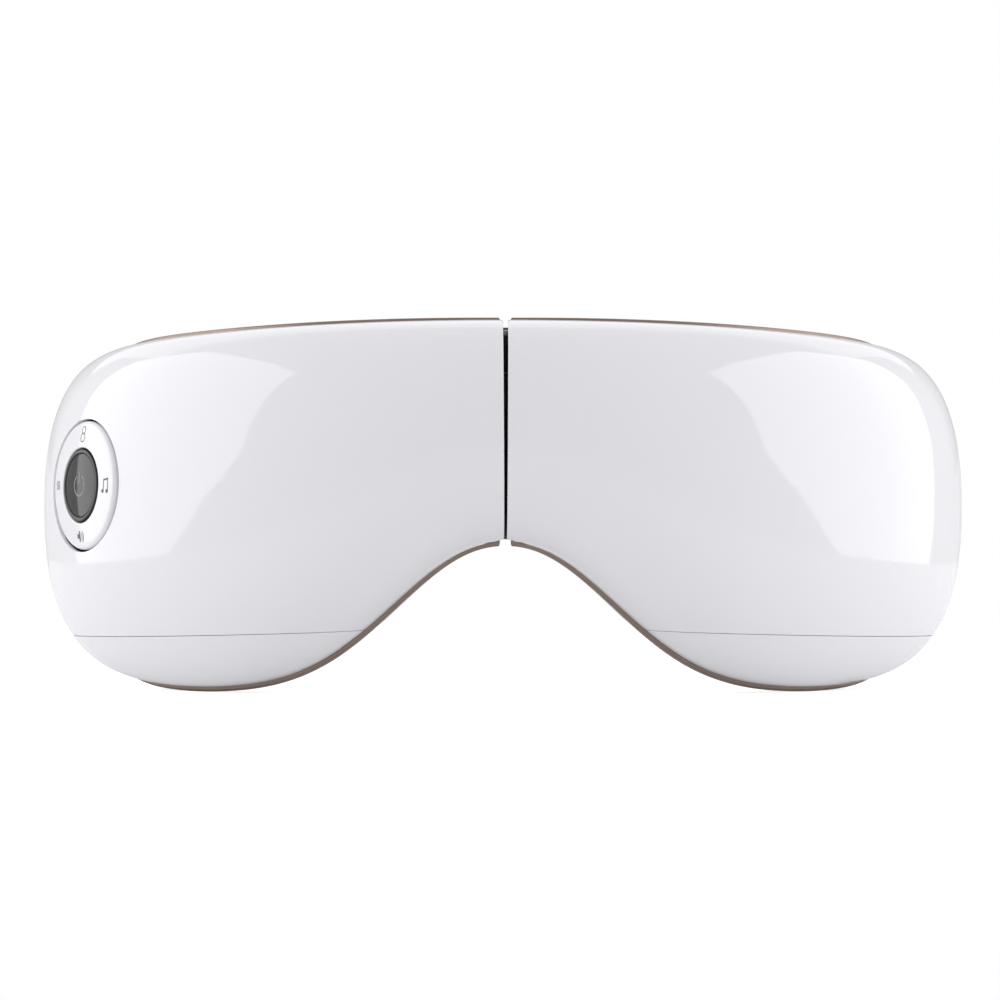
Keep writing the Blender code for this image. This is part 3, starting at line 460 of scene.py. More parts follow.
def turned_mesh(profile, segments):
    """A solid turned about Z from (radius, height) points that run from its outer top, down and round."""

    def point(i, j):
        radius, height = profile[i % len(profile)]
        angle = 2 * math.pi * j / segments
        return Vector((radius * math.cos(angle), radius * math.sin(angle), height))

    closed = profile[0][0] > 0 and profile[-1][0] > 0
    columns = len(profile) if closed else len(profile) - 1
    return outwards(grid_mesh(columns, segments, point, closed_columns=closed, closed_rows=True))


def joined(meshes):
    bm = bmesh.new()
    for mesh in meshes:
        bm.from_mesh(mesh)
        bpy.data.meshes.remove(mesh)
    return to_mesh(bm)


def arc(centre, radius, start, end, steps):
    """(x, y) points on a round corner, from the start angle to the end angle in degrees."""
    turns = [math.radians(start + (end - start) * i / steps) for i in range(steps + 1)]
    return [(centre[0] + radius * math.cos(a), centre[1] + radius * math.sin(a)) for a in turns]


# Materials

LOOKS = {}


class Look:
    """A Principled material, kept in LOOKS, with the nodes that drive its colour, roughness and relief."""

    def __init__(self, name, **sockets):
        material = bpy.data.materials.new(name)
        material.use_nodes = True
        self.nodes, self.links = material.node_tree.nodes, material.node_tree.links
        self.shader = self.nodes["Principled BSDF"]
        self.place = self.nodes.new("ShaderNodeTexCoord").outputs["Object"]
        self.relief = None
        for socket, value in sockets.items():
            self.shader.inputs[socket.replace("_", " ")].default_value = value
        LOOKS[name] = material

    def node(self, kind, vector=None, **inputs):
        """A node with its inputs set, fed with the place on the object or with another vector."""
        node = self.nodes.new(f"ShaderNode{kind}")
        for socket, value in inputs.items():
            node.inputs[socket].default_value = value
        self.links.new(vector or self.place, node.inputs["Vector"])
        return node

    def mapped(self, scale=(1, 1, 1), turn=(0, 0, 0)):
        return self.node("Mapping", Scale=scale, Rotation=turn).outputs["Vector"]

    def noise(self, scale, detail=3.0, rough=0.5, vector=None):
        node = self.node("TexNoise", vector, Scale=scale, Detail=detail, Roughness=rough)
        return node.outputs["Fac"]

    def cells(self, scale, feature="F1"):
        node = self.node("TexVoronoi", Scale=scale)
        node.feature = feature
        return node.outputs["Distance"]

    def wave(self, scale, distortion=0.0, direction="X", vector=None):
        node = self.node("TexWave", vector, Scale=scale, Distortion=distortion)
        node.bands_direction = direction
        return node.outputs["Fac"]

    def ramp(self, factor, *stops):
        """A colour ramp through (position, colour or grey)."""
        node = self.nodes.new("ShaderNodeValToRGB")
        while len(node.color_ramp.elements) < len(stops):
            node.color_ramp.elements.new(0.5)
        for element, (position, value) in zip(node.color_ramp.elements, stops):
            element.position = position
            element.color = (*value, 1) if isinstance(value, tuple) else (value, value, value, 1)
        self.links.new(factor, node.inputs["Fac"])
        return node.outputs["Color"]

    def greater(self, a, b):
        node = self.nodes.new("ShaderNodeMath")
        node.operation = "MAXIMUM"
        self.links.new(a, node.inputs[0])
        self.links.new(b, node.inputs[1])
        return node.outputs["Value"]

    def colour(self, factor, *stops):
        self.links.new(self.ramp(factor, *stops), self.shader.inputs["Base Color"])

    def vary_roughness(self, factor, low, high):
        self.links.new(self.ramp(factor, (0.25, low), (0.75, high)), self.shader.inputs["Roughness"])

    def bump(self, height, depth):
        node = self.nodes.new("ShaderNodeBump")
        node.inputs["Distance"].default_value = depth
        self.links.new(height, node.inputs["Height"])
        if self.relief is not None:
            self.links.new(self.relief, node.inputs["Normal"])
        self.relief = node.outputs["Normal"]
        self.links.new(self.relief, self.shader.inputs["Normal"])


def mottled(name, blotch, dark, light, sheen, low, high, **sockets):
    """A look whose colour and roughness drift, each with a noise of its own scale and detail."""
    look = Look(name, **sockets)
    look.colour(look.noise(*blotch), (0.3, dark), (0.7, light))
    look.vary_roughness(look.noise(*sheen), low, high)
    return look


def make_plastics():
    look = mottled(
        "gloss_white", (14, 2), (0.80, 0.795, 0.82), (0.815, 0.81, 0.835), (60, 4), 0.045, 0.075, IOR=1.62
    )
    look.bump(look.noise(520, 2, 0.4), 1.2e-6)
    look = mottled(
        "dark_shell", (240, 4), (0.048, 0.043, 0.041), (0.062, 0.056, 0.053), (900, 2), 0.46, 0.6,
        Specular_IOR_Level=0.4,
    )
    look.bump(look.cells(2600), 1.6e-5)
    look.bump(look.noise(5200, 1), 8e-6)
    look = mottled(
        "black_gloss", (300, 3), (0.008, 0.008, 0.0095), (0.014, 0.014, 0.016), (800, 3), 0.04, 0.09,
        IOR=1.5,
    )
    look.bump(look.cells(1500), 1.5e-6)
    look = mottled("washer_black", (400, 3), (0.025, 0.025, 0.026), (0.04, 0.04, 0.041), (900,), 0.4, 0.55)
    look.bump(look.noise(3000), 6e-6)
    look = mottled("battery_wrap", (80, 4), (0.07, 0.15, 0.38), (0.1, 0.2, 0.46), (300, 4), 0.28, 0.45)
    look.bump(look.noise(220, 5), 6e-5)
    mottled("icon_grey", (2000, 2), (0.10, 0.085, 0.085), (0.13, 0.11, 0.11), (2500,), 0.3, 0.42)
    mottled(
        "icon_silver", (2000, 2), (0.2, 0.2, 0.21), (0.26, 0.26, 0.27), (2500,), 0.25, 0.36, Metallic=0.3
    )
    look = mottled(
        "silicone", (150, 3), (0.52, 0.52, 0.53), (0.6, 0.6, 0.61), (700, 2), 0.45, 0.65,
        Subsurface_Weight=0.15, Subsurface_Scale=0.002,
    )
    look.bump(look.noise(1800, 2), 8e-6)
    # Painted shade: a flat black with no reflection that stands in for the shadow inside the gap between
    # the halves
    look = Look("seam_painted_shade", Roughness=1.0, Specular_IOR_Level=0.0)
    look.colour(look.noise(700, 3), (0.3, (0.006, 0.006, 0.006)), (0.7, (0.012, 0.012, 0.012)))
    look.bump(look.noise(900, 3), 4e-6)


def make_metals():
    look = Look("champagne_trim", Metallic=0.9)
    grain = look.noise(1600, 2, 0.6, look.mapped((0.08, 0.08, 1)))
    look.colour(look.noise(90, 3), (0.3, (0.235, 0.18, 0.15)), (0.7, (0.27, 0.21, 0.175)))
    look.vary_roughness(grain, 0.26, 0.38)
    look.bump(grain, 3e-6)
    for name, dark, light, low, high in (
        ("steel", (0.5, 0.5, 0.51), (0.62, 0.62, 0.63), 0.2, 0.36),
        ("blackened_steel", (0.018, 0.018, 0.02), (0.035, 0.035, 0.038), 0.3, 0.48),
        ("brass", (0.52, 0.37, 0.14), (0.66, 0.5, 0.24), 0.22, 0.4),
    ):
        look = Look(name, Metallic=1.0)
        grain = look.noise(2600, 3, 0.6, look.mapped((1, 1, 0.05)))
        look.colour(grain, (0.3, dark), (0.7, light))
        look.vary_roughness(grain, low, high)
        look.bump(grain, 3e-6)


def make_soft_looks():
    look = Look("taupe_leather", Specular_IOR_Level=0.45)
    look.colour(look.noise(120, 5), (0.25, (0.135, 0.108, 0.096)), (0.75, (0.19, 0.155, 0.138)))
    look.vary_roughness(look.noise(420, 3), 0.4, 0.58)
    look.bump(look.cells(1050, "SMOOTH_F1"), 7e-5)
    look.bump(look.cells(2300), 1.5e-5)
    look.bump(look.noise(160, 4), 5e-5)
    look = Look("eye_fabric", Roughness=0.85, Sheen_Weight=0.35, Sheen_Roughness=0.5)
    across, along = (look.wave(420, 0.6, vector=look.mapped(turn=(0, turn, 0))) for turn in (0.785, -0.785))
    knit = look.greater(across, along)
    look.colour(knit, (0.2, (0.10, 0.092, 0.09)), (0.9, (0.235, 0.218, 0.212)))
    look.bump(knit, 1.2e-4)
    look.bump(look.noise(2600, 3), 2e-5)
    look = Look("stitch_thread", Roughness=0.75, Sheen_Weight=0.3)
    twist = look.wave(900, vector=look.mapped(turn=(0.6, 0.4, 0.2)))
    look.colour(twist, (0.3, (0.09, 0.075, 0.068)), (0.7, (0.16, 0.135, 0.12)))
    look.bump(twist, 3e-5)


def make_circuit_looks():
    look = Look("copper_film", Metallic=0.6)
    tracks = look.wave(210, 1.5, "Z")
    look.colour(tracks, (0.42, (0.5, 0.24, 0.09)), (0.58, (0.78, 0.47, 0.27)))
    look.vary_roughness(look.noise(500), 0.3, 0.48)
    look.bump(tracks, 2e-5)
    look = Look("circuit_board", Roughness=0.4)
    pads = look.ramp(look.cells(420), (0.12, 1.0), (0.16, 0.0))
    mixed = look.greater(look.ramp(look.wave(150, 5.0), (0.46, 0.0), (0.5, 0.35)), pads)
    green, bright, gold = (0.012, 0.14, 0.06), (0.03, 0.24, 0.11), (0.62, 0.5, 0.22)
    look.colour(mixed, (0.1, green), (0.5, bright), (0.95, gold))
    look.bump(mixed, 3e-5)


# What each CAD node that stays is made of
CAD_LOOKS = {
    "steel": (
        "vibration_motor", "pump_motor", "pump_crank", "air_valve", "valve_plunger", "hinge_pin",
        "hinge_clip",
    ),
    "brass": ("vibration_weight",),
    "dark_shell": ("dial_seat", "rocker_plate", "pump_head", "speaker"),
    "silicone": ("key_membrane", "air_hose"),
    "circuit_board": ("key_board", "main_board", "power_board"),
    "battery_wrap": ("battery_pack",),
    "washer_black": ("hinge_washer_lower", "hinge_washer_upper"),
}


def dress_cad_nodes():
    for look, names in CAD_LOOKS.items():
        wanted = {prefix + name for name in names for prefix in ("", "right_", "left_")}
        for node, obj in frame["nodes"].items():
            if node in wanted:
                dress(obj, look, look)


# Shells


def line_height(x):
    """The height of the line between the front shell and its lower panel."""
    return PANEL_LINE_HEIGHT + (x - PANEL_LINE_X) * math.tan(PANEL_LINE_SLOPE)


def line_share(t, drop=0.0):
    """w on the panel line, less drop, at plan angle t, or -1 where the line runs below the shell."""

    def below(w):
        point = front_point(t, w)
        return point.z < line_height(point.x) - drop

    return halved(-1.0, 0.0, below)[0]


def crossings(drop=0.0):
    """The two plan angles where the bottom edge meets the panel line."""
    return [
        halved(math.radians(low), math.radians(high), lambda t: line_share(t, drop) <= -1, 50)[1]
        for low, high in ((5, 40), (97.5, 60))
    ]


def line_stations(drop, rows):
    """(plan angle, w on the line) from one crossing to the other, closer together towards both."""
    first, last = crossings(drop)
    angles = [first + (last - first) * (1 - math.cos(math.pi * j / rows)) / 2 for j in range(rows + 1)]
    return [(t, line_share(t, drop)) for t in angles]


def front_stations(first, count, end):
    """Plan angles, closer together towards the temple end."""
    turn = math.radians(66)
    straight = int(count * 0.62)
    run = [first + (turn - first) * i / straight for i in range(straight)]
    rounded = count - straight
    return run + [turn + (end - turn) * math.sin(math.pi / 2 * i / rounded) for i in range(rounded + 1)]


def with_stops(angles, stops):
    """The angles, with the one nearest to each stop moved onto it."""
    angles = list(angles)
    for stop in stops:
        nearest = min(range(1, len(angles) - 1), key=lambda k: abs(angles[k] - stop))
        angles[nearest] = stop
    return angles


def closer_stops(angles, near, far):
    """The angles, with more of them where the edge leaves the rim for the panel line."""
    steps = [math.radians(0.6) * (k / 8) ** 2 for k in range(1, 8)]
    return sorted([*angles, *(near + step for step in steps), *(far - step for step in steps)])


def into_shell(w):
    """The direction square to the shell's surface at the seam, from the surface inwards."""
    step = 1e-3
    low, high = max(-1.0, w - step), min(1.0, w + step)
    along = (front_point(0.0, high) - front_point(0.0, low)).normalized()
    return Vector((1, 0, 0)).cross(along).normalized() * -1


def shell_sheet():
    """The front shell above the panel line: a wall and a round edge at the seam, then the bulged front."""
    first = angle_at(SEAM_GAP_TOP + SEAM_ROUND, 0.0)
    stops = crossings()
    angles = with_stops(front_stations(first + math.radians(0.35), SHELL_STATIONS, TEMPLE_END), stops)
    angles = closer_stops(angles, *stops)
    lows = [line_share(t) for t in angles]
    lead = SHELL_TURNS + 2

    def point(i, j):
        if j >= lead:
            low = lows[j - lead]
            return front_point(angles[j - lead], low + (1 - low) * i / SHELL_COLUMNS)
        w = 2 * i / SHELL_COLUMNS - 1
        skin = front_point(0.0, w)
        turn = math.pi / 2 * max(0, j - 1) / SHELL_TURNS
        spot = skin + into_shell(w) * SEAM_ROUND * (1 - math.sin(turn))
        if j == 0:
            spot.y = max(spot.y, -PLAN_DEPTH + SEAM_WALL_DEPTH)
        spot.x = -(seam_gap(skin.z) + SEAM_ROUND * (1 - math.cos(turn)))
        return spot

    return grid_mesh(SHELL_COLUMNS, len(angles) + lead - 1, point)


def panel_sheet():
    stations = line_stations(PANEL_GAP, PANEL_ROWS)

    def point(i, j):
        t, high = stations[j]
        return front_point(t, -1 + (high + 1) * i / PANEL_COLUMNS)

    return grid_mesh(PANEL_COLUMNS, PANEL_ROWS, point)


def backing_sheet():
    """A strip inside the shells that backs the panel line from end to end."""
    stations = line_stations(0.0, BACKING_ROWS)

    def point(i, j):
        t, line = stations[j]
        spot = front_point(t, max(-1.0, line + BACKING_HALF_WIDTH * (2 * i / BACKING_COLUMNS - 1)))
        middle = on_plan(t, -SHELL_DEPTH, sum(rim(t)) / 2)
        return spot + (middle - spot).normalized() * BACKING_DEPTH

    return grid_mesh(BACKING_COLUMNS, BACKING_ROWS, point)


def thicken(obj, wall, even=True):
    modify(obj, "SOLIDIFY", thickness=wall, offset=-1, use_even_offset=even, use_quality_normals=True)


def round_edges(obj):
    modify(
        obj, "BEVEL", width=EDGE_ROUND, segments=2, limit_method="ANGLE", angle_limit=math.radians(50),
        miter_outer="MITER_ARC", use_clamp_overlap=True,
    )


def clear_round(mesh, frame, radius, low, high, on_sheet=True):
    """Takes away what a sheet has inside a round room, and draws the edge that is left onto that round."""
    inverse = frame.inverted()

    def inside(vert):
        place = inverse @ vert.co
        return low < place.z < high and place.xy.length < radius

    with edited(mesh) as bm:
        whole = BVHTree.FromBMesh(bm)
        faces = [f for f in bm.faces if all(inside(v) for v in f.verts)]
        bmesh.ops.delete(bm, geom=faces, context="FACES")
        for vert in bm.verts:
            if not (vert.is_boundary and inside(vert)):
                continue
            place = inverse @ vert.co
            place.xy = place.xy.normalized() * radius
            vert.co = frame @ place
            if on_sheet:
                start = frame @ (place + Vector((0, 0, 5 * MM)))
                vert.co = whole.ray_cast(start, frame.to_3x3() @ Vector((0, 0, -1)), 10 * MM)[0] or vert.co
    return mesh


def paint_seam_shade(shell):
    """Paints shade on the walls of the gap between the halves, from just behind their front edge: a flat
    black that stands in for the shadow in the gap.
    """
    shell.data.materials.append(LOOKS["seam_painted_shade"])
    bottom, top = rim(0.0)
    for face in shell.data.polygons:
        place = face.center - ORIGIN_SHIFT
        height = min(1.0, abs(2 * (place.z - bottom) / (top - bottom) - 1))
        bulge = (1 - height**SECTION_POWER) ** (1 / SECTION_POWER)
        front = -PLAN_DEPTH + SHELL_DEPTH * (1 - bulge) + SEAM_PAINTED_SHADE_DEPTH
        # Seam wall faces behind the front edge, up to the given top, get the painted shade
        if abs(place.x) < SEAM_PAINTED_SHADE_WIDTH and place.y > front and place.z < SEAM_PAINTED_SHADE_TOP:
            face.material_index = 1


def make_front(side):
    mesh = fold_trimmed(shell_sheet(), TRIM_FOLD_CLEARANCE, FOLD_HALF_ANGLE)
    clear_round(mesh, hinge_frame(), HINGE_CLEARANCE_RADIUS, *HINGE_ROOM, on_sheet=False)
    if side == RIGHT:
        clear_round(mesh, dial_frame(), DIAL_HOLE_RADIUS, *DIAL_ROOM)
    shell = sided(side, "front_shell_skin", mesh)
    thicken(shell, SHELL_WALL, even=False)
    round_edges(shell)
    finish(shell, "gloss_white", half(side), f"{side}_front_shell", weighted=True)
    # Painted shade: the seam walls turn flat black where the gap between the halves is in shadow
    paint_seam_shade(shell)
    panel = sided(side, "lower_panel_skin", panel_sheet())
    thicken(panel, SHELL_WALL)
    round_edges(panel)
    if side == LEFT:
        room = extruded(stadium(PORT_WIDTH + PORT_GAP, PORT_DEPTH + PORT_GAP), *PORT_ROOM)
        cut(panel, LEFT, "port_room", room, local(*PORT_PLACE))
    finish(panel, "gloss_white", half(side), f"{side}_lower_panel", weighted=True)
    backing = sided(side, "panel_backing", backing_sheet())
    thicken(backing, BACKING_WALL, even=False)
    finish(backing, "dark_shell", half(side))


# Trim band and rear shells


def rim_path(n, count):
    """(t, z) places evenly along the rim at depth n: over the top to the temple, and back below."""
    run = []
    beyond = math.radians(-3)
    for edge, (start, power), order in ((top_edge, TOP_CLOSING, 1), (bottom_edge, BOTTOM_CLOSING, -1)):
        part = []
        for k in range(300):
            t = beyond + (start - beyond) * k / 300
            part.append((t, edge(t)))
        for k in range(901):
            angle = math.pi / 2 * k / 900
            t = start + (TEMPLE_END - start) * math.sin(angle) ** (2 / power)
            share = max(0.0, math.cos(angle)) ** (2 / power)
            part.append((t, TEMPLE_HEIGHT + (edge(t) - TEMPLE_HEIGHT) * share))
        run += part[::order] if order == 1 else part[-2::-1]
    reach = 0.93 * PLAN_HALF_WIDTH + n
    return resampled(run, count, lambda a, b: math.hypot((a[0] - b[0]) * reach, a[1] - b[1]))


def fold_trimmed(mesh, clearance, angle):
    """Cuts a piece off at the slanted plane that lets the halves fold."""
    with edited(mesh) as bm:
        bmesh.ops.bisect_plane(
            bm,
            geom=[*bm.verts, *bm.edges, *bm.faces],
            plane_co=(-clearance, -PLAN_DEPTH - HINGE_DEPTH, 0),
            plane_no=(1, math.tan(angle), 0),
            clear_outer=True,
        )
    return mesh


def bead_outline():
    """The trim's section as (depth from its front, height out of the rim), with a lip inside the shell."""
    soft, inner, deep = 0.55 * MM, 0.2 * MM, TRIM_FRONT - TRIM_BACK
    run = arc((soft, -soft), soft, 180, 90, 6) + arc((deep - soft, -soft), soft, 90, 0, 6)
    run += arc((deep - inner, inner - TRIM_WALL), inner, 0, -90, 3)
    lip_top = TRIM_LIP_THICKNESS - TRIM_WALL
    return run + [(-TRIM_LIP_REACH, -TRIM_WALL), (-TRIM_LIP_REACH, lip_top), (0.0, lip_top)]


def make_trim(side):
    outline = bead_outline()
    path = rim_path((TRIM_FRONT + TRIM_BACK) / 2, TRIM_ROWS)

    def point(i, j):
        depth, out = outline[i]
        places = path[max(j - 1, 0)], path[j], path[min(j + 1, TRIM_ROWS)]
        before, here, after = (on_plan(t, TRIM_FRONT - depth, z) for t, z in places)
        t = path[j][0]
        rise = (after - before).cross(outward(t)).normalized()
        proud = TRIM_PROUD_TOP + (TRIM_PROUD_BOTTOM - TRIM_PROUD_TOP) * (1 - rise.z) / 2
        proud += TRIM_PROUD_MORE * clamped(t / TRIM_PROUD_REACH)
        return here + rise * (proud + out)

    mesh = grid_mesh(len(outline), TRIM_ROWS, point, closed_columns=True)
    trim = sided(side, "trim_bead", filled(fold_trimmed(mesh, TRIM_FOLD_CLEARANCE, TRIM_FOLD_ANGLE)))
    finish(trim, "champagne_trim", half(side), f"{side}_trim_band")


GRILLE_ANGLE, GRILLE_HEIGHT = math.radians(85.6), 46.0 * MM
GRILLE_HOLE, GRILLE_PITCH = 0.55 * MM, 2.0 * MM


def grille_mesh():
    """Rows of small pegs, which cut the holes over the speaker."""
    bm = bmesh.new()
    for row in range(-5, 6):
        for column in (-1, 0, 1) if abs(row) < 5 else (0,):
            x = column * GRILLE_PITCH + (row % 2) * GRILLE_PITCH / 2 - 0.5 * MM
            add_peg(bm, GRILLE_HOLE, 8 * MM, 14, (x, row * GRILLE_PITCH * 0.87, 0))
    return to_mesh(bm)


def make_rear(side):
    profile = even_section(REAR_POWER, REAR_COLUMNS, REAR_TALL, REAR_DEEP)
    angles = front_stations(math.radians(-3), REAR_STATIONS, temple_end(REAR_INSET))

    def point(i, j):
        return sheet_point(angles[j], *profile[i], REAR_FRONT, REAR_BACK, REAR_CLOSING, REAR_INSET)

    mesh = grid_mesh(REAR_COLUMNS, REAR_STATIONS, point)
    mesh = fold_trimmed(mesh, REAR_FOLD_CLEARANCE, FOLD_HALF_ANGLE)
    mesh.flip_normals()
    shell = sided(side, "rear_shell_skin", mesh)
    thicken(shell, REAR_WALL)
    cut(shell, side, "grille", grille_mesh(), axis_frame(local(GRILLE_ANGLE, GRILLE_HEIGHT, REAR_BACK)))
    finish(shell, "dark_shell", half(side), f"{side}_rear_shell", weighted=True)


# Cushions and eye pads


def eye_frame(n=0.0):
    return local(EYE_ANGLE, EYE_HEIGHT, n)


def eye_run(t):
    """How far along the eye's own flat direction the cushion's middle layer lies at plan angle t."""
    return (eye_frame().inverted() @ on_plan(t, CUSHION_MIDDLE, EYE_HEIGHT)).x


def curve_table():
    """(length, plan angle, eye run) triples along the cushion's middle layer. length is 0 at the eye."""
    first, last, steps = math.radians(-8), math.radians(104), 1400
    rows, length = [], 0.0
    for k in range(steps + 1):
        t = first + (last - first) * k / steps
        place = on_plan(t, CUSHION_MIDDLE)
        if k:
            length += (place - before).length
        before = place
        rows.append((length, t, eye_run(t)))
    middle = min(rows, key=lambda row: abs(row[1] - EYE_ANGLE))[0]
    return [(length - middle, t, run) for length, t, run in rows]


CURVE = curve_table()
LENGTH, ANGLE, RUN = 0, 1, 2


def looked_up(value, key, wanted):
    """The value of one column of CURVE where another column, which rises all along it, reaches a value."""
    k = bisect.bisect_left(CURVE, value, key=lambda row: row[key])
    k = min(max(k, 1), len(CURVE) - 1)
    low, high = CURVE[k - 1], CURVE[k]
    share = (value - low[key]) / (high[key] - low[key])
    return low[wanted] + (high[wanted] - low[wanted]) * share


def cushion_outline(count):
    """The cushion's outer edge as count (length, height) points with rounded corners, counter-clockwise."""
    first = angle_at(CUSHION_START_X, CUSHION_FRONT)
    low, high = [], []
    for k in range(121):
        share = k / 120
        t = first + (CUSHION_END - first) * share
        bottom, top = rim(t, CUSHION_INSET)
        drawn = CUSHION_DRAWN * max(0.0, math.sin(math.pi / 2 * share) - 0.55) ** 2
        length = looked_up(t, ANGLE, LENGTH)
        low.append((length, bottom + drawn))
        high.append((length, top - drawn))
    loop = low + high[::-1] + low[:1]
    even = resampled(loop, 4 * count)[:-1]
    window = 13
    for _ in range(2):
        padded = even[-window:] + even + even[:window]
        even = [
            tuple(sum(p[axis] for p in padded[k:k + 2 * window + 1]) / (2 * window + 1) for axis in (0, 1))
            for k in range(len(even))
        ]
    return even[::4]


def quarter(distance, radius):
    return math.sqrt(1 - (1 - clamped(distance / radius)) ** 2)


def eye_edge(outer):
    """The (length, height) on the eye opening's edge in the direction of a point of the outer edge."""
    half_width, half_height = EYE_HALF_WIDTH + EYE_ROOM, EYE_HALF_HEIGHT + EYE_ROOM
    angle = math.atan2((outer[1] - EYE_HEIGHT) / half_height, outer[0] / half_width)
    length = looked_up(half_width * math.cos(angle), RUN, LENGTH)
    return length, EYE_HEIGHT + half_height * math.sin(angle)


def bump_at(x, centre, width):
    return math.exp(-(((x - centre) / width) ** 2))


def inner_seam(length):
    return min(INNER_SEAM, 0.3 * length)


def outer_seam(length):
    return max(length - OUTER_SEAM, 0.64 * length)


def cushion_height(d, length, around):
    """How far the cushion stands up at d from the eye opening, on a row of this length."""
    full = min(1.0, length / FULL_ROW)
    crown = CUSHION_THICKNESS - CROWN_RISE + CROWN_RISE * max(0.0, math.sin(math.pi * d / length)) ** 0.8
    crown *= 0.55 + 0.45 * full
    height = crown * quarter(d, min(INNER_ROUND, length / 2))
    height *= quarter(length - d, min(OUTER_ROUND, length / 2))
    beside, near = 1.4 * MM * full, MM * full
    for at in (outer_seam(length), inner_seam(length)):
        height -= SEAM_DEPTH * full * bump_at(d, at, SEAM_WIDTH)
        pucker = 0.5 + 0.5 * math.cos(2 * math.pi * around * PUCKERS)
        for spot in (at + beside, at - beside):
            height -= PUCKER_DEPTH * full * pucker * bump_at(d, spot, near)
    return height


def cushion_rows(length):
    """Distances from the eye opening, closer together at both edges and at both seams."""
    even = [(1 - math.cos(math.pi * k / CUSHION_ROWS)) / 2 * length for k in range(CUSHION_ROWS + 1)]
    step = 0.3 * MM * min(1.0, length / FULL_ROW)
    fine = [at + k * step for at in (inner_seam(length), outer_seam(length)) for k in range(-3, 4)]
    return sorted(even + fine)


def cushion_place(inner, outer, d, height):
    """The point at d from the eye opening and this height over the cushion's base."""
    full = math.hypot(outer[0] - inner[0], outer[1] - inner[1])
    share = d / full
    length = inner[0] + (outer[0] - inner[0]) * share
    z = inner[1] + (outer[1] - inner[1]) * share
    t = looked_up(length, LENGTH, ANGLE)
    spot = on_plan(t, CUSHION_FRONT - height, z)
    frame = eye_frame()
    straight = looked_up(length, LENGTH, RUN) - (frame.inverted() @ spot).x
    return spot + frame.to_3x3() @ Vector((straight, 0, 0)) * max(0.0, 1 - share) ** 2


def cushion_stations():
    """(inner point, outer point, length) for each row of the cushion, none below the thinnest rim."""
    made = []
    for outer in cushion_outline(CUSHION_STATIONS):
        inner = eye_edge(outer)
        step = Vector(outer) - Vector(inner)
        away = Vector((outer[0], outer[1] - EYE_HEIGHT)).normalized()
        if step.dot(away) < THINNEST_RIM:
            step = away * THINNEST_RIM
        made.append((inner, tuple(Vector(inner) + step), step.length))
    return made


def uneven(spot, amount):
    """A slight roll of the surface, the same at the same place each run."""
    return amount * noise.noise(spot * 90) + 0.4 * amount * noise.noise(spot * 260)


def cushion_mesh(stations):
    rows = [cushion_rows(length) for _, _, length in stations]
    count = len(rows[0])
    base = (0.8, 0.6, 0.4, 0.2)

    def point(i, j):
        j %= len(stations)
        inner, outer, length = stations[j]
        if i >= count:
            return cushion_place(inner, outer, length * base[i - count], 0.0)
        d = rows[j][i]
        height = cushion_height(d, length, j / len(stations))
        spot = cushion_place(inner, outer, d, height)
        edge = min(1.0, height / (2 * MM))
        return cushion_place(inner, outer, d, height + edge * uneven(spot, 0.22 * MM))

    return grid_mesh(count + 4, len(stations), point, closed_columns=True, closed_rows=True)


# Along a stitch, its radius and how deep it sinks into the seam
STITCH_RADII = [radius * MM for radius in (0.06, 0.2, 0.24, 0.2, 0.06)]
STITCH_SINKS = [sink * MM for sink in (0.22, 0.05, 0.0, 0.05, 0.22)]
STITCH_SIDES, STITCH_STEPS = 8, 6


def stitch_row(stations, distance):
    """Stitches lying in a seam of the cushion, distance(length) from the eye opening."""
    path = []
    for k, (inner, outer, length) in enumerate(stations):
        d = distance(length)
        height = cushion_height(d, length, k / len(stations)) + 0.16 * MM
        path.append(tuple(cushion_place(inner, outer, d, height)))
    path.append(path[0])
    even = resampled(path, STITCH_STEPS * round(len(path) * 0.52))
    towards_eye = eye_frame().to_3x3() @ Vector((0, -1, 0))
    turns = [2 * math.pi * n / STITCH_SIDES for n in range(STITCH_SIDES)]
    bm = bmesh.new()
    for start in range(0, len(even) - STITCH_STEPS, STITCH_STEPS):
        run = [Vector(spot) for spot in even[start:start + 5]]
        rings = []
        for k, (spot, radius, sink) in enumerate(zip(run, STITCH_RADII, STITCH_SINKS)):
            along = (run[min(k + 1, 4)] - run[max(k - 1, 0)]).normalized()
            side = along.cross(towards_eye).normalized()
            up = side.cross(along)
            ring = [spot - up * sink + (side * math.cos(a) + up * math.sin(a)) * radius for a in turns]
            rings.append([bm.verts.new(corner) for corner in ring])
        for one, two in zip(rings, rings[1:]):
            for n in range(STITCH_SIDES):
                after = (n + 1) % STITCH_SIDES
                bm.faces.new((one[n], one[after], two[after], two[n]))
        bm.faces.new(rings[0][::-1])
        bm.faces.new(rings[-1])
    return outwards(to_mesh(bm))


def make_face_cushion(side):
    stations = cushion_stations()
    cushion = sided(side, "cushion_cover", outwards(cushion_mesh(stations)))
    finish(cushion, "taupe_leather", half(side), f"{side}_face_cushion", angle=80)
    for name, distance in (("outer", outer_seam), ("inner", inner_seam)):
        row = sided(side, f"{name}_stitches", stitch_row(stations, distance))
        finish(row, "stitch_thread", half(side), slot="taupe_leather", angle=80)


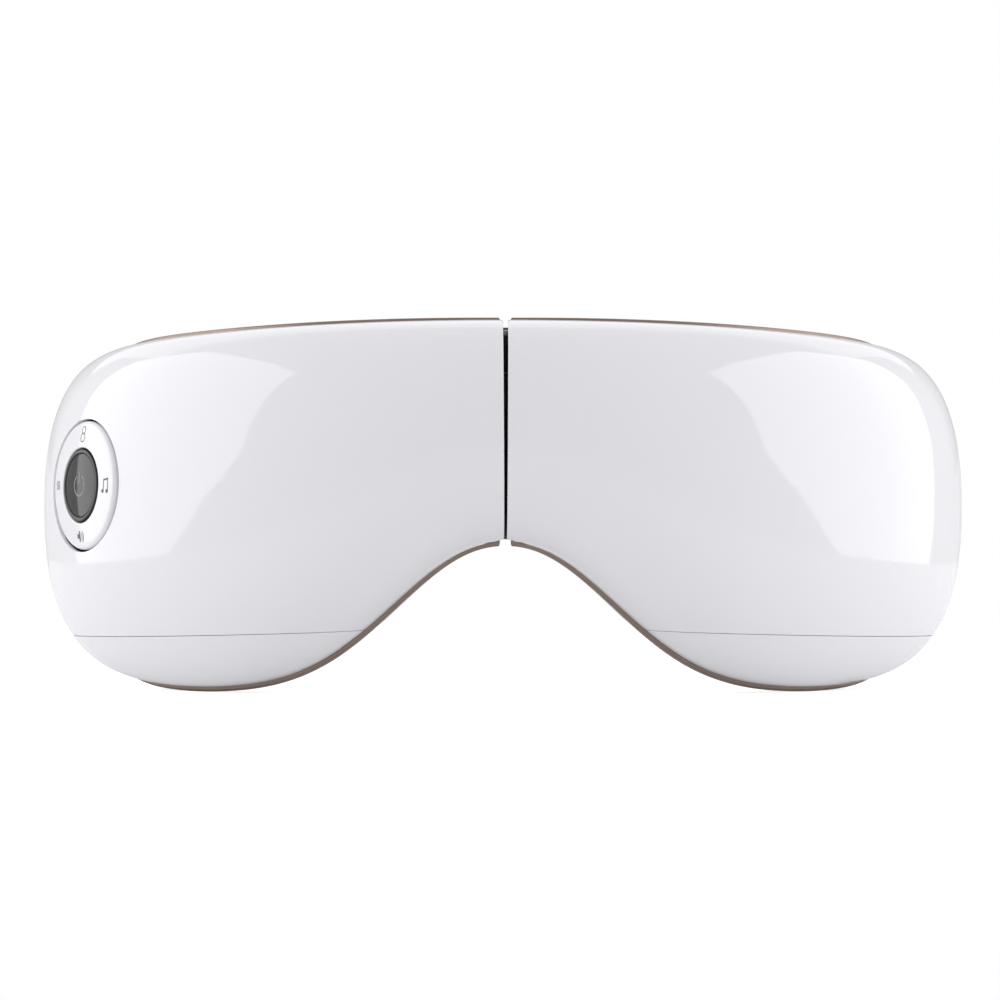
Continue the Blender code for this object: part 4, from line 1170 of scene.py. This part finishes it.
def oval_pad(front, thickness, crown, groove, ribs):
    """A closed oval pad over the eye: flat towards the mask, crowned towards the eye."""
    half_width, half_height = EYE_HALF_WIDTH * 0.97, EYE_HALF_HEIGHT * 0.97
    soft = min(thickness, 1.4 * MM)
    frame = eye_frame(front)

    def point(i, j):
        angle = 2 * math.pi * j / PAD_AROUND
        if i <= PAD_RINGS:
            run = math.sin(math.pi / 2 * i / PAD_RINGS)
            lift = (thickness - soft) + soft * quarter((1 - run) * half_height, soft)
            lift += crown * (1 - run**2.2) ** 1.2
            lift -= groove * bump_at(run, 0.74, 0.035)
            if ribs and run < 0.72:
                lift -= groove * 0.55 * abs(math.cos(ribs * angle)) ** 14 * min(1.0, run / 0.3)
        else:
            run, lift = (1.0, 0.55, 0.0)[i - PAD_RINGS - 1], 0.0
        x, z = half_width * run * math.cos(angle), half_height * run * math.sin(angle)
        return frame @ Vector((x, -lift, z))

    return outwards(grid_mesh(PAD_RINGS + 3, PAD_AROUND, point, closed_rows=True))


def make_eye_layers(side):
    for name, front, thickness, crown, groove, ribs, look, fill in (
        ("airbag", AIRBAG_FRONT, AIRBAG_THICKNESS - 0.5 * MM, 0.4 * MM, 0.25 * MM, 0, "silicone", 0.5),
        ("heating_film", FILM_FRONT, FILM_THICKNESS, 0.0, 0.0, 0, "copper_film", None),
        ("eye_pad", PAD_FRONT, PAD_THICKNESS, 1.1 * MM, 0.55 * MM, 4, "eye_fabric", 0.6),
    ):
        piece = sided(side, f"{name}_cover", oval_pad(front, thickness, crown, groove, ribs))
        finish(piece, look, half(side), f"{side}_{name}", angle=80)


# Hinge


def make_hinge_bracket(side):
    low, high = KNUCKLES[side][0][0], KNUCKLES[side][-1][1]
    centre = (-(LEAF_INNER + LEAF_OUTER) / 2, 0, (low + high) / 2)
    meshes = [box_mesh((LEAF_OUTER - LEAF_INNER, LEAF_THICKNESS, high - low), centre, 0.4 * MM)]
    chamfer = 0.45 * MM
    edge = [
        (HINGE_RADIUS - back * chamfer, drop * chamfer)
        for back, drop in ((1.0, 0.0), (0.3, 0.3), (0.0, 1.0))
    ]
    for bottom, top in KNUCKLES[side]:
        profile = [(radius, top - drop) for radius, drop in edge]
        profile += [(radius, bottom + drop) for radius, drop in edge[::-1]]
        profile += [(HINGE_BORE_RADIUS, bottom), (HINGE_BORE_RADIUS, top)]
        meshes.append(turned_mesh(profile, 64))
        size = (LEAF_INNER, LEAF_THICKNESS, top - bottom - 0.4 * MM)
        meshes.append(box_mesh(size, (-LEAF_INNER / 2 - MM, 0, (bottom + top) / 2), 0.2 * MM, 2))
    bracket = sided(side, "hinge_leaf", joined(meshes), hinge_frame())
    finish(bracket, "blackened_steel", half(side), f"{side}_hinge_bracket")


# Control dial

BEZEL_WIDTH, BUTTON_FACE_DROP = 0.9 * MM, 0.25 * MM
ICON_LIFT, ICON_THICKNESS, ICON_LINE = 0.03 * MM, 0.05 * MM, 0.24


def dome(radius, crown):
    return crown - radius * radius / (2 * DIAL_DOME_RADIUS)


def domed_front(inner, outer, crown, inner_soft, outer_soft):
    """(radius, height) across a domed front with rounded inner and outer edges, from the outside in."""
    run = arc((outer - outer_soft, dome(outer, crown) - outer_soft), outer_soft, 0, 90, 8)
    run[1:] = [(r, z + dome(r, crown) - dome(outer, crown)) for r, z in run[1:]]
    low, high = inner + inner_soft, outer - outer_soft
    for k in range(1, 14):
        radius = high + (low - high) * k / 14
        run.append((radius, dome(radius, crown)))
    if inner_soft:
        run += arc((low, dome(inner, crown) - inner_soft), inner_soft, 90, 180, 8)
    return run


def make_dial():
    made = dial_frame()
    ring = domed_front(RING_INNER, RING_OUTER, RING_CROWN, 0.4 * MM, 0.8 * MM)
    ring += [(RING_INNER, RING_BACK), (RING_OUTER, RING_BACK)]
    piece = new_object("control_ring_face", turned_mesh(ring, 144), placed(RIGHT, made))
    finish(piece, "gloss_white", "control_ring", "control_ring", angle=60, weighted=True)

    lip = BUTTON_RADIUS - BEZEL_WIDTH
    crown = BUTTON_CROWN - BUTTON_FACE_DROP
    front = domed_front(0.0, lip, crown, 0.0, 0.15 * MM) + [(0.0, dome(0.0, crown))]
    rim_top = dome(BUTTON_RADIUS, BUTTON_CROWN)
    bezel = arc((BUTTON_RADIUS - 0.3 * MM, rim_top - 0.3 * MM), 0.3 * MM, 0, 90, 5)
    bezel += arc((lip + 0.3 * MM, rim_top - 0.25 * MM), 0.25 * MM, 90, 180, 4)
    bezel.append((lip + 0.05 * MM, front[0][1] - 0.1 * MM))
    under = [(0.0, STEM_BACK), (STEM_RADIUS, STEM_BACK)]
    under += [(STEM_RADIUS, BUTTON_BACK), (BUTTON_RADIUS, BUTTON_BACK)]
    piece = new_object("power_button_cap", turned_mesh(under + bezel + front, 120), placed(RIGHT, made))
    finish(piece, "black_gloss", "power_button", "power_button", angle=50, weighted=True)
    make_ring_icons(made)
    make_power_icon(made)


def ribbon(points, width, centre=(0, 0), crown=RING_CROWN, closed=False):
    """A flat line on a domed face, with its width and its (x, y) points in millimetres from the centre."""
    points = [Vector((centre[0] + x * MM, centre[1] + y * MM)) for x, y in points]
    count = len(points)
    sides = []
    for k, here in enumerate(points):
        before = points[(k - 1) % count if closed else max(k - 1, 0)]
        after = points[(k + 1) % count if closed else min(k + 1, count - 1)]
        along = (after - before).normalized()
        across = Vector((-along.y, along.x)) * width * MM / 2
        sides.append((here - across, here + across))

    def point(i, j):
        left, right = sides[j % count]
        spot = (left, right, right, left)[i % 4]
        height = dome(spot.length, crown) + ICON_LIFT - (0 if i % 4 < 2 else ICON_THICKNESS)
        return Vector((spot.x, spot.y, height))

    mesh = grid_mesh(4, count if closed else count - 1, point, closed_columns=True, closed_rows=closed)
    return outwards(mesh) if closed else filled(mesh)


def make_ring_icons(made):
    middle = (RING_OUTER + RING_INNER) / 2
    top, bottom, left, right = (0.0, middle), (0.0, -middle), (-middle, 0.0), (middle, 0.0)
    # Massage: two stacked rounds
    meshes = [
        ribbon(arc((0, y), radius, 0, 360, 32)[:-1], ICON_LINE, top, closed=True)
        for y, radius in ((0.95, 0.75), (-0.72, 0.92))
    ]
    # Warmth: three wavy lines
    for x in (-0.75, 0.0, 0.75):
        run = [(x + 0.22 * math.sin(k / 12 * 2 * math.pi), (k / 12 - 0.5) * 1.9) for k in range(13)]
        meshes.append(ribbon(run, ICON_LINE, left))
    # Music: a note with two stems
    for x in (-0.75, 0.75):
        meshes.append(ribbon(arc((x - 0.3, -1.25), 0.22, 0, 345, 23), 0.44, right, closed=True))
        meshes.append(ribbon([(x, -1.25), (x, 0.1), (x, 1.35 + 0.2 * x)], ICON_LINE, right))
    meshes.append(ribbon([(-0.85, 1.15), (0, 1.32), (0.85, 1.5)], 0.4, right))
    # Sound: a loudspeaker and two arcs
    meshes.append(ribbon([(-1.25, 0), (-0.8, 0), (-0.4, 0)], 1.0, bottom))
    meshes.append(ribbon([(-0.4, 0), (-0.1, 0), (0.15, 0)], 2.3, bottom))
    for radius in (0.9, 1.5):
        meshes.append(ribbon(arc((0, 0), radius, -48, 48, 10), ICON_LINE, bottom))
    icons = new_object("ring_icons", joined(meshes), placed(RIGHT, made))
    finish(icons, "icon_grey", "control_ring", slot="black_gloss")


def make_power_icon(made):
    crown = BUTTON_CROWN - BUTTON_FACE_DROP
    meshes = [
        ribbon(arc((0, 0), 2.3, 122, 418, 40), 0.3, crown=crown),
        ribbon([(0, 0.5), (0, 1.6), (0, 2.8)], 0.3, crown=crown),
    ]
    power = new_object("power_icon", joined(meshes), placed(RIGHT, made))
    finish(power, "icon_silver", "power_button", slot="steel")


# Strap loops, screws and port


def rounded_rectangle(low, high, radius, steps=8):
    """(x, y) points round a rectangle with rounded corners, from the lower left corner's left end."""
    (x0, y0), (x1, y1) = (low[0] + radius, low[1] + radius), (high[0] - radius, high[1] - radius)
    run = []
    for centre, start in (((x0, y0), 180), ((x1, y0), 270), ((x1, y1), 0), ((x0, y1), 90)):
        run += arc(centre, radius, start, start + 90, steps)
    return run


def stadium(width, depth):
    return rounded_rectangle((-width / 2, -depth / 2), (width / 2, depth / 2), depth / 2 - 1e-6, 12)


def extruded(outline, low, high):
    def point(i, j):
        return Vector((*outline[j % len(outline)], (high, low)[i]))

    return filled(grid_mesh(1, len(outline), point, closed_rows=True))


def framed(outer, inner, low, high, soft):
    """A plate with an opening: outer and inner are matching outlines, and its edges are rounded by soft."""
    count = len(outer)

    def point(i, j):
        a, b = Vector(outer[j % count]), Vector(inner[j % count])
        length = (b - a).length
        far, under, over = length - soft, low + soft, high - soft
        run = []
        for x, y, start in ((soft, over, 180), (far, over, 90), (far, under, 0), (soft, under, -90)):
            run += arc((x, y), soft, start, start - 90, 4)
        d, height = run[i % len(run)]
        spot = a + (b - a) * (d / length)
        return Vector((spot.x, spot.y, height))

    return outwards(grid_mesh(20, count, point, closed_columns=True, closed_rows=True))


def loop_frame():
    return local(LOOP_ANGLE, LOOP_HEIGHT, LOOP_FRONT - LOOP_THICKNESS / 2)


def screw_frames():
    base = loop_frame() @ Matrix.Translation((0, COUNTERBORE_DEPTH - LOOP_THICKNESS / 2, 0))
    for place, sign in (("upper", 1), ("lower", -1)):
        yield place, axis_frame(base @ Matrix.Translation((0, 0, sign * SCREW_SPACING / 2)))


def make_strap_loop(side):
    outer = rounded_rectangle((LOOP_START, -LOOP_TALL / 2), (LOOP_END, LOOP_TALL / 2), 4.5 * MM)
    inner = rounded_rectangle((WINDOW_START, -WINDOW_TALL / 2), (WINDOW_END, WINDOW_TALL / 2), 2.2 * MM)
    mesh = framed(outer, inner, -LOOP_THICKNESS / 2, LOOP_THICKNESS / 2, 0.6 * MM)
    loop = sided(side, "strap_loop_frame", mesh, loop_frame() @ Matrix.Rotation(math.pi / 2, 4, "X"))
    for place, made in screw_frames():
        hole = cylinder_mesh(SCREW_RADIUS + 0.2 * MM, -2 * MM, 4 * MM, 32)
        cut(loop, side, f"hole_{place}", hole, made)
        room = cylinder_mesh(COUNTERBORE_RADIUS, -COUNTERBORE_DEPTH - MM, 0, 48)
        cut(loop, side, f"room_{place}", room, made)
    finish(loop, "dark_shell", half(side), f"{side}_strap_loop", weighted=True)


def make_screws(side):
    head = SCREW_HEAD_HEIGHT
    profile = [
        (share * SCREW_HEAD_RADIUS, -head * height)
        for share, height in ((0.0, 1.0), (0.6, 0.97), (0.86, 0.82), (0.98, 0.58), (1.0, 0.35))
    ]
    profile += [(SCREW_HEAD_RADIUS, -0.1 * MM), (SCREW_RADIUS, -0.1 * MM)]
    pitch = 0.5 * MM
    for k in range(8):
        low = 0.2 * MM + k * pitch
        profile += [(SCREW_RADIUS, low), (SCREW_RADIUS * 0.82, low + pitch / 2)]
    profile += [(SCREW_RADIUS * 0.5, SCREW_LENGTH - 0.1 * MM), (0.0, SCREW_LENGTH)]
    for place, made in screw_frames():
        screw = sided(side, f"screw_{place}_head", turned_mesh(profile, 40), made)
        for turn in (20, 110):
            arm = box_mesh((2.3 * MM, 0.5 * MM, 1.0 * MM), (0, 0, -head))
            cut(screw, side, f"{place}_arm_{turn}", arm, made @ Matrix.Rotation(math.radians(turn), 4, "Z"))
        finish(screw, "steel", half(side), f"{side}_screw_{place}")


def make_port():
    made = placed(LEFT, local(*PORT_PLACE))
    outer = stadium(PORT_WIDTH, PORT_DEPTH)
    inner = stadium(PORT_WIDTH - 2 * PORT_WALL, PORT_DEPTH - 2 * PORT_WALL)
    shell = framed(outer, inner, PORT_LOW, PORT_HIGH - PORT_WALL, 0.12 * MM)
    middle = stadium(PORT_WIDTH - PORT_WALL, PORT_DEPTH - PORT_WALL)
    back = extruded(middle, PORT_HIGH - 2 * PORT_WALL, PORT_HIGH)
    port = new_object("charging_port_shell", joined([shell, back]), made)
    finish(port, "steel", "left_half", "charging_port")
    mesh = box_mesh(TONGUE_SIZE, (0, 0, -2.4 * MM), 0.2 * MM)
    tongue = new_object("charging_port_tongue", mesh, made)
    finish(tongue, "washer_black", "left_half")


# Stage, lights and camera

CAMERA_PLACE = Vector((-8.7, -1067.9, 41.4)) * MM
CAMERA_YAW = math.radians(-0.42)
LENS = 176.1
FLOOR_HALF_WIDTH, FLOOR_FRONT, FLOOR_BACK = 0.32, -0.62, 0.6
FLOOR_GLOW, FLOOR_SEEN_GLOW = 0.26, 0.75
ROOM_STRENGTH = 0.70

# Each light's radiance, with its outline as (y, z) for the pairs at either side and as corners behind
SIDE_REACH, SIDE_RADIANCE = 0.9, 2.1
SIDE_OUTLINE = (
    (-0.65, 1.04), (-0.64, 0.24), (-0.55, 0.12), (-0.37, 0.02), (-0.20, -0.10), (0.52, -0.10), (0.60, 0.2),
    (0.70, 0.55), (0.72, 0.9), (0.40, 1.27), (-0.35, 1.16),
)
FLAG_REACH, FLAG_RADIANCE = 0.95, 0.65
FLAG_OUTLINE = ((0.54, -0.25), (1.4, -0.25), (1.4, 1.0), (0.62, 1.0))
BEHIND_RADIANCE = 0.5
BEHIND_CORNERS = ((-2.0, 1.2, 0.1), (2.0, 1.2, 0.1), (2.0, 1.2, 0.6), (-2.0, 1.2, 0.6))
ABOVE_RADIANCE, ABOVE_PLACE, ABOVE_SIZE = 0.55, (0, 1.2, 1.34), (4.0, 1.48)


def make_camera():
    data = bpy.data.cameras.new("camera")
    data.lens = LENS
    data.sensor_width = 36
    data.clip_start, data.clip_end = 0.05, 20
    made = bpy.data.objects.new("camera", data)
    made.location = CAMERA_PLACE
    made.rotation_euler = (math.pi / 2, 0, CAMERA_YAW)
    bpy.context.scene.collection.objects.link(made)
    bpy.context.scene.camera = made


def seen_apart(tree, elsewhere, seen, target):
    """Gives the target one shader where the camera sees it, and another for all other rays."""
    path = tree.nodes.new("ShaderNodeLightPath")
    mix = tree.nodes.new("ShaderNodeMixShader")
    tree.links.new(path.outputs["Is Camera Ray"], mix.inputs["Fac"])
    tree.links.new(elsewhere.outputs[0], mix.inputs[1])
    tree.links.new(seen.outputs[0], mix.inputs[2])
    tree.links.new(mix.outputs["Shader"], tree.nodes[target].inputs["Surface"])


def make_floor():
    def point(i, j):
        return Vector((FLOOR_HALF_WIDTH * (i / 4 - 1), FLOOR_FRONT + (FLOOR_BACK - FLOOR_FRONT) * j / 8, 0))

    made = new_object("floor", grid_mesh(8, 8, point))
    look = bpy.data.materials.new("pale_floor")
    look.use_nodes = True
    tree = look.node_tree
    elsewhere, seen = tree.nodes["Principled BSDF"], tree.nodes.new("ShaderNodeBsdfPrincipled")
    for shader, colour, roughness, glow in (
        (elsewhere, (0.62, 0.62, 0.63, 1), 0.9, FLOOR_GLOW),
        (seen, (0.8, 0.8, 0.8, 1), 1.0, FLOOR_SEEN_GLOW),
    ):
        shader.inputs["Base Color"].default_value = colour
        shader.inputs["Roughness"].default_value = roughness
        shader.inputs["Emission Color"].default_value = (1, 1, 1, 1)
        shader.inputs["Emission Strength"].default_value = glow
    seen_apart(tree, elsewhere, seen, "Material Output")
    made.data.materials.append(look)


def make_world():
    world = bpy.data.worlds.new("studio")
    world.use_nodes = True
    tree = world.node_tree
    dim = tree.nodes["Background"]
    dim.inputs["Color"].default_value = (1.0, 0.99, 1.02, 1)
    dim.inputs["Strength"].default_value = ROOM_STRENGTH
    white = tree.nodes.new("ShaderNodeBackground")
    white.inputs["Color"].default_value = (1, 1, 1, 1)
    seen_apart(tree, dim, white, "World Output")
    bpy.context.scene.world = world
    bpy.context.scene.view_settings.view_transform = "Standard"


def soft_box(name, centre, size, radiance):
    """A rectangular soft light that shines forwards from its centre."""
    data = bpy.data.lights.new(name, "AREA")
    data.shape = "RECTANGLE"
    data.size, data.size_y = size
    data.energy = radiance * math.pi * size[0] * size[1]
    made = bpy.data.objects.new(name, data)
    turned = Vector((0, -1, 0)).to_track_quat("-Z", "Y").to_matrix().to_4x4()
    made.matrix_world = Matrix.Translation(centre) @ turned
    made.visible_camera = False
    bpy.context.scene.collection.objects.link(made)


def light_panel(name, corners, radiance):
    """A flat glowing panel of any outline, which shows only in reflections and by its light."""
    bm = bmesh.new()
    bm.faces.new([bm.verts.new(corner) for corner in corners])
    made = new_object(name, to_mesh(bm))
    glow = bpy.data.materials.new(name)
    glow.use_nodes = True
    nodes, links = glow.node_tree.nodes, glow.node_tree.links
    emission = nodes.new("ShaderNodeEmission")
    emission.inputs["Strength"].default_value = radiance
    links.new(emission.outputs["Emission"], nodes["Material Output"].inputs["Surface"])
    made.data.materials.append(glow)
    made.visible_camera = False


def panel_pair(kind, reach, outline, radiance):
    """A panel at each side of the mask, its outline scaled with how far out it stands."""
    for name, sign in (("right", -1), ("left", 1)):
        corners = [(sign * reach, y * reach, z * reach) for y, z in outline]
        light_panel(f"{kind}_{name}", corners, radiance)


def make_lights():
    panel_pair("side", SIDE_REACH, SIDE_OUTLINE, SIDE_RADIANCE)
    light_panel("behind", BEHIND_CORNERS, BEHIND_RADIANCE)
    soft_box("above_behind", ABOVE_PLACE, ABOVE_SIZE, ABOVE_RADIANCE)
    panel_pair("flag", FLAG_REACH, FLAG_OUTLINE, FLAG_RADIANCE)


make_camera()
make_floor()
make_world()
make_lights()
make_plastics()
make_metals()
make_soft_looks()
make_circuit_looks()
dress_cad_nodes()
for mask_side in (RIGHT, LEFT):
    make_front(mask_side)
    make_trim(mask_side)
    make_rear(mask_side)
    make_face_cushion(mask_side)
    make_eye_layers(mask_side)
    make_hinge_bracket(mask_side)
    make_strap_loop(mask_side)
    make_screws(mask_side)
make_dial()
make_port()
drop_cutters()
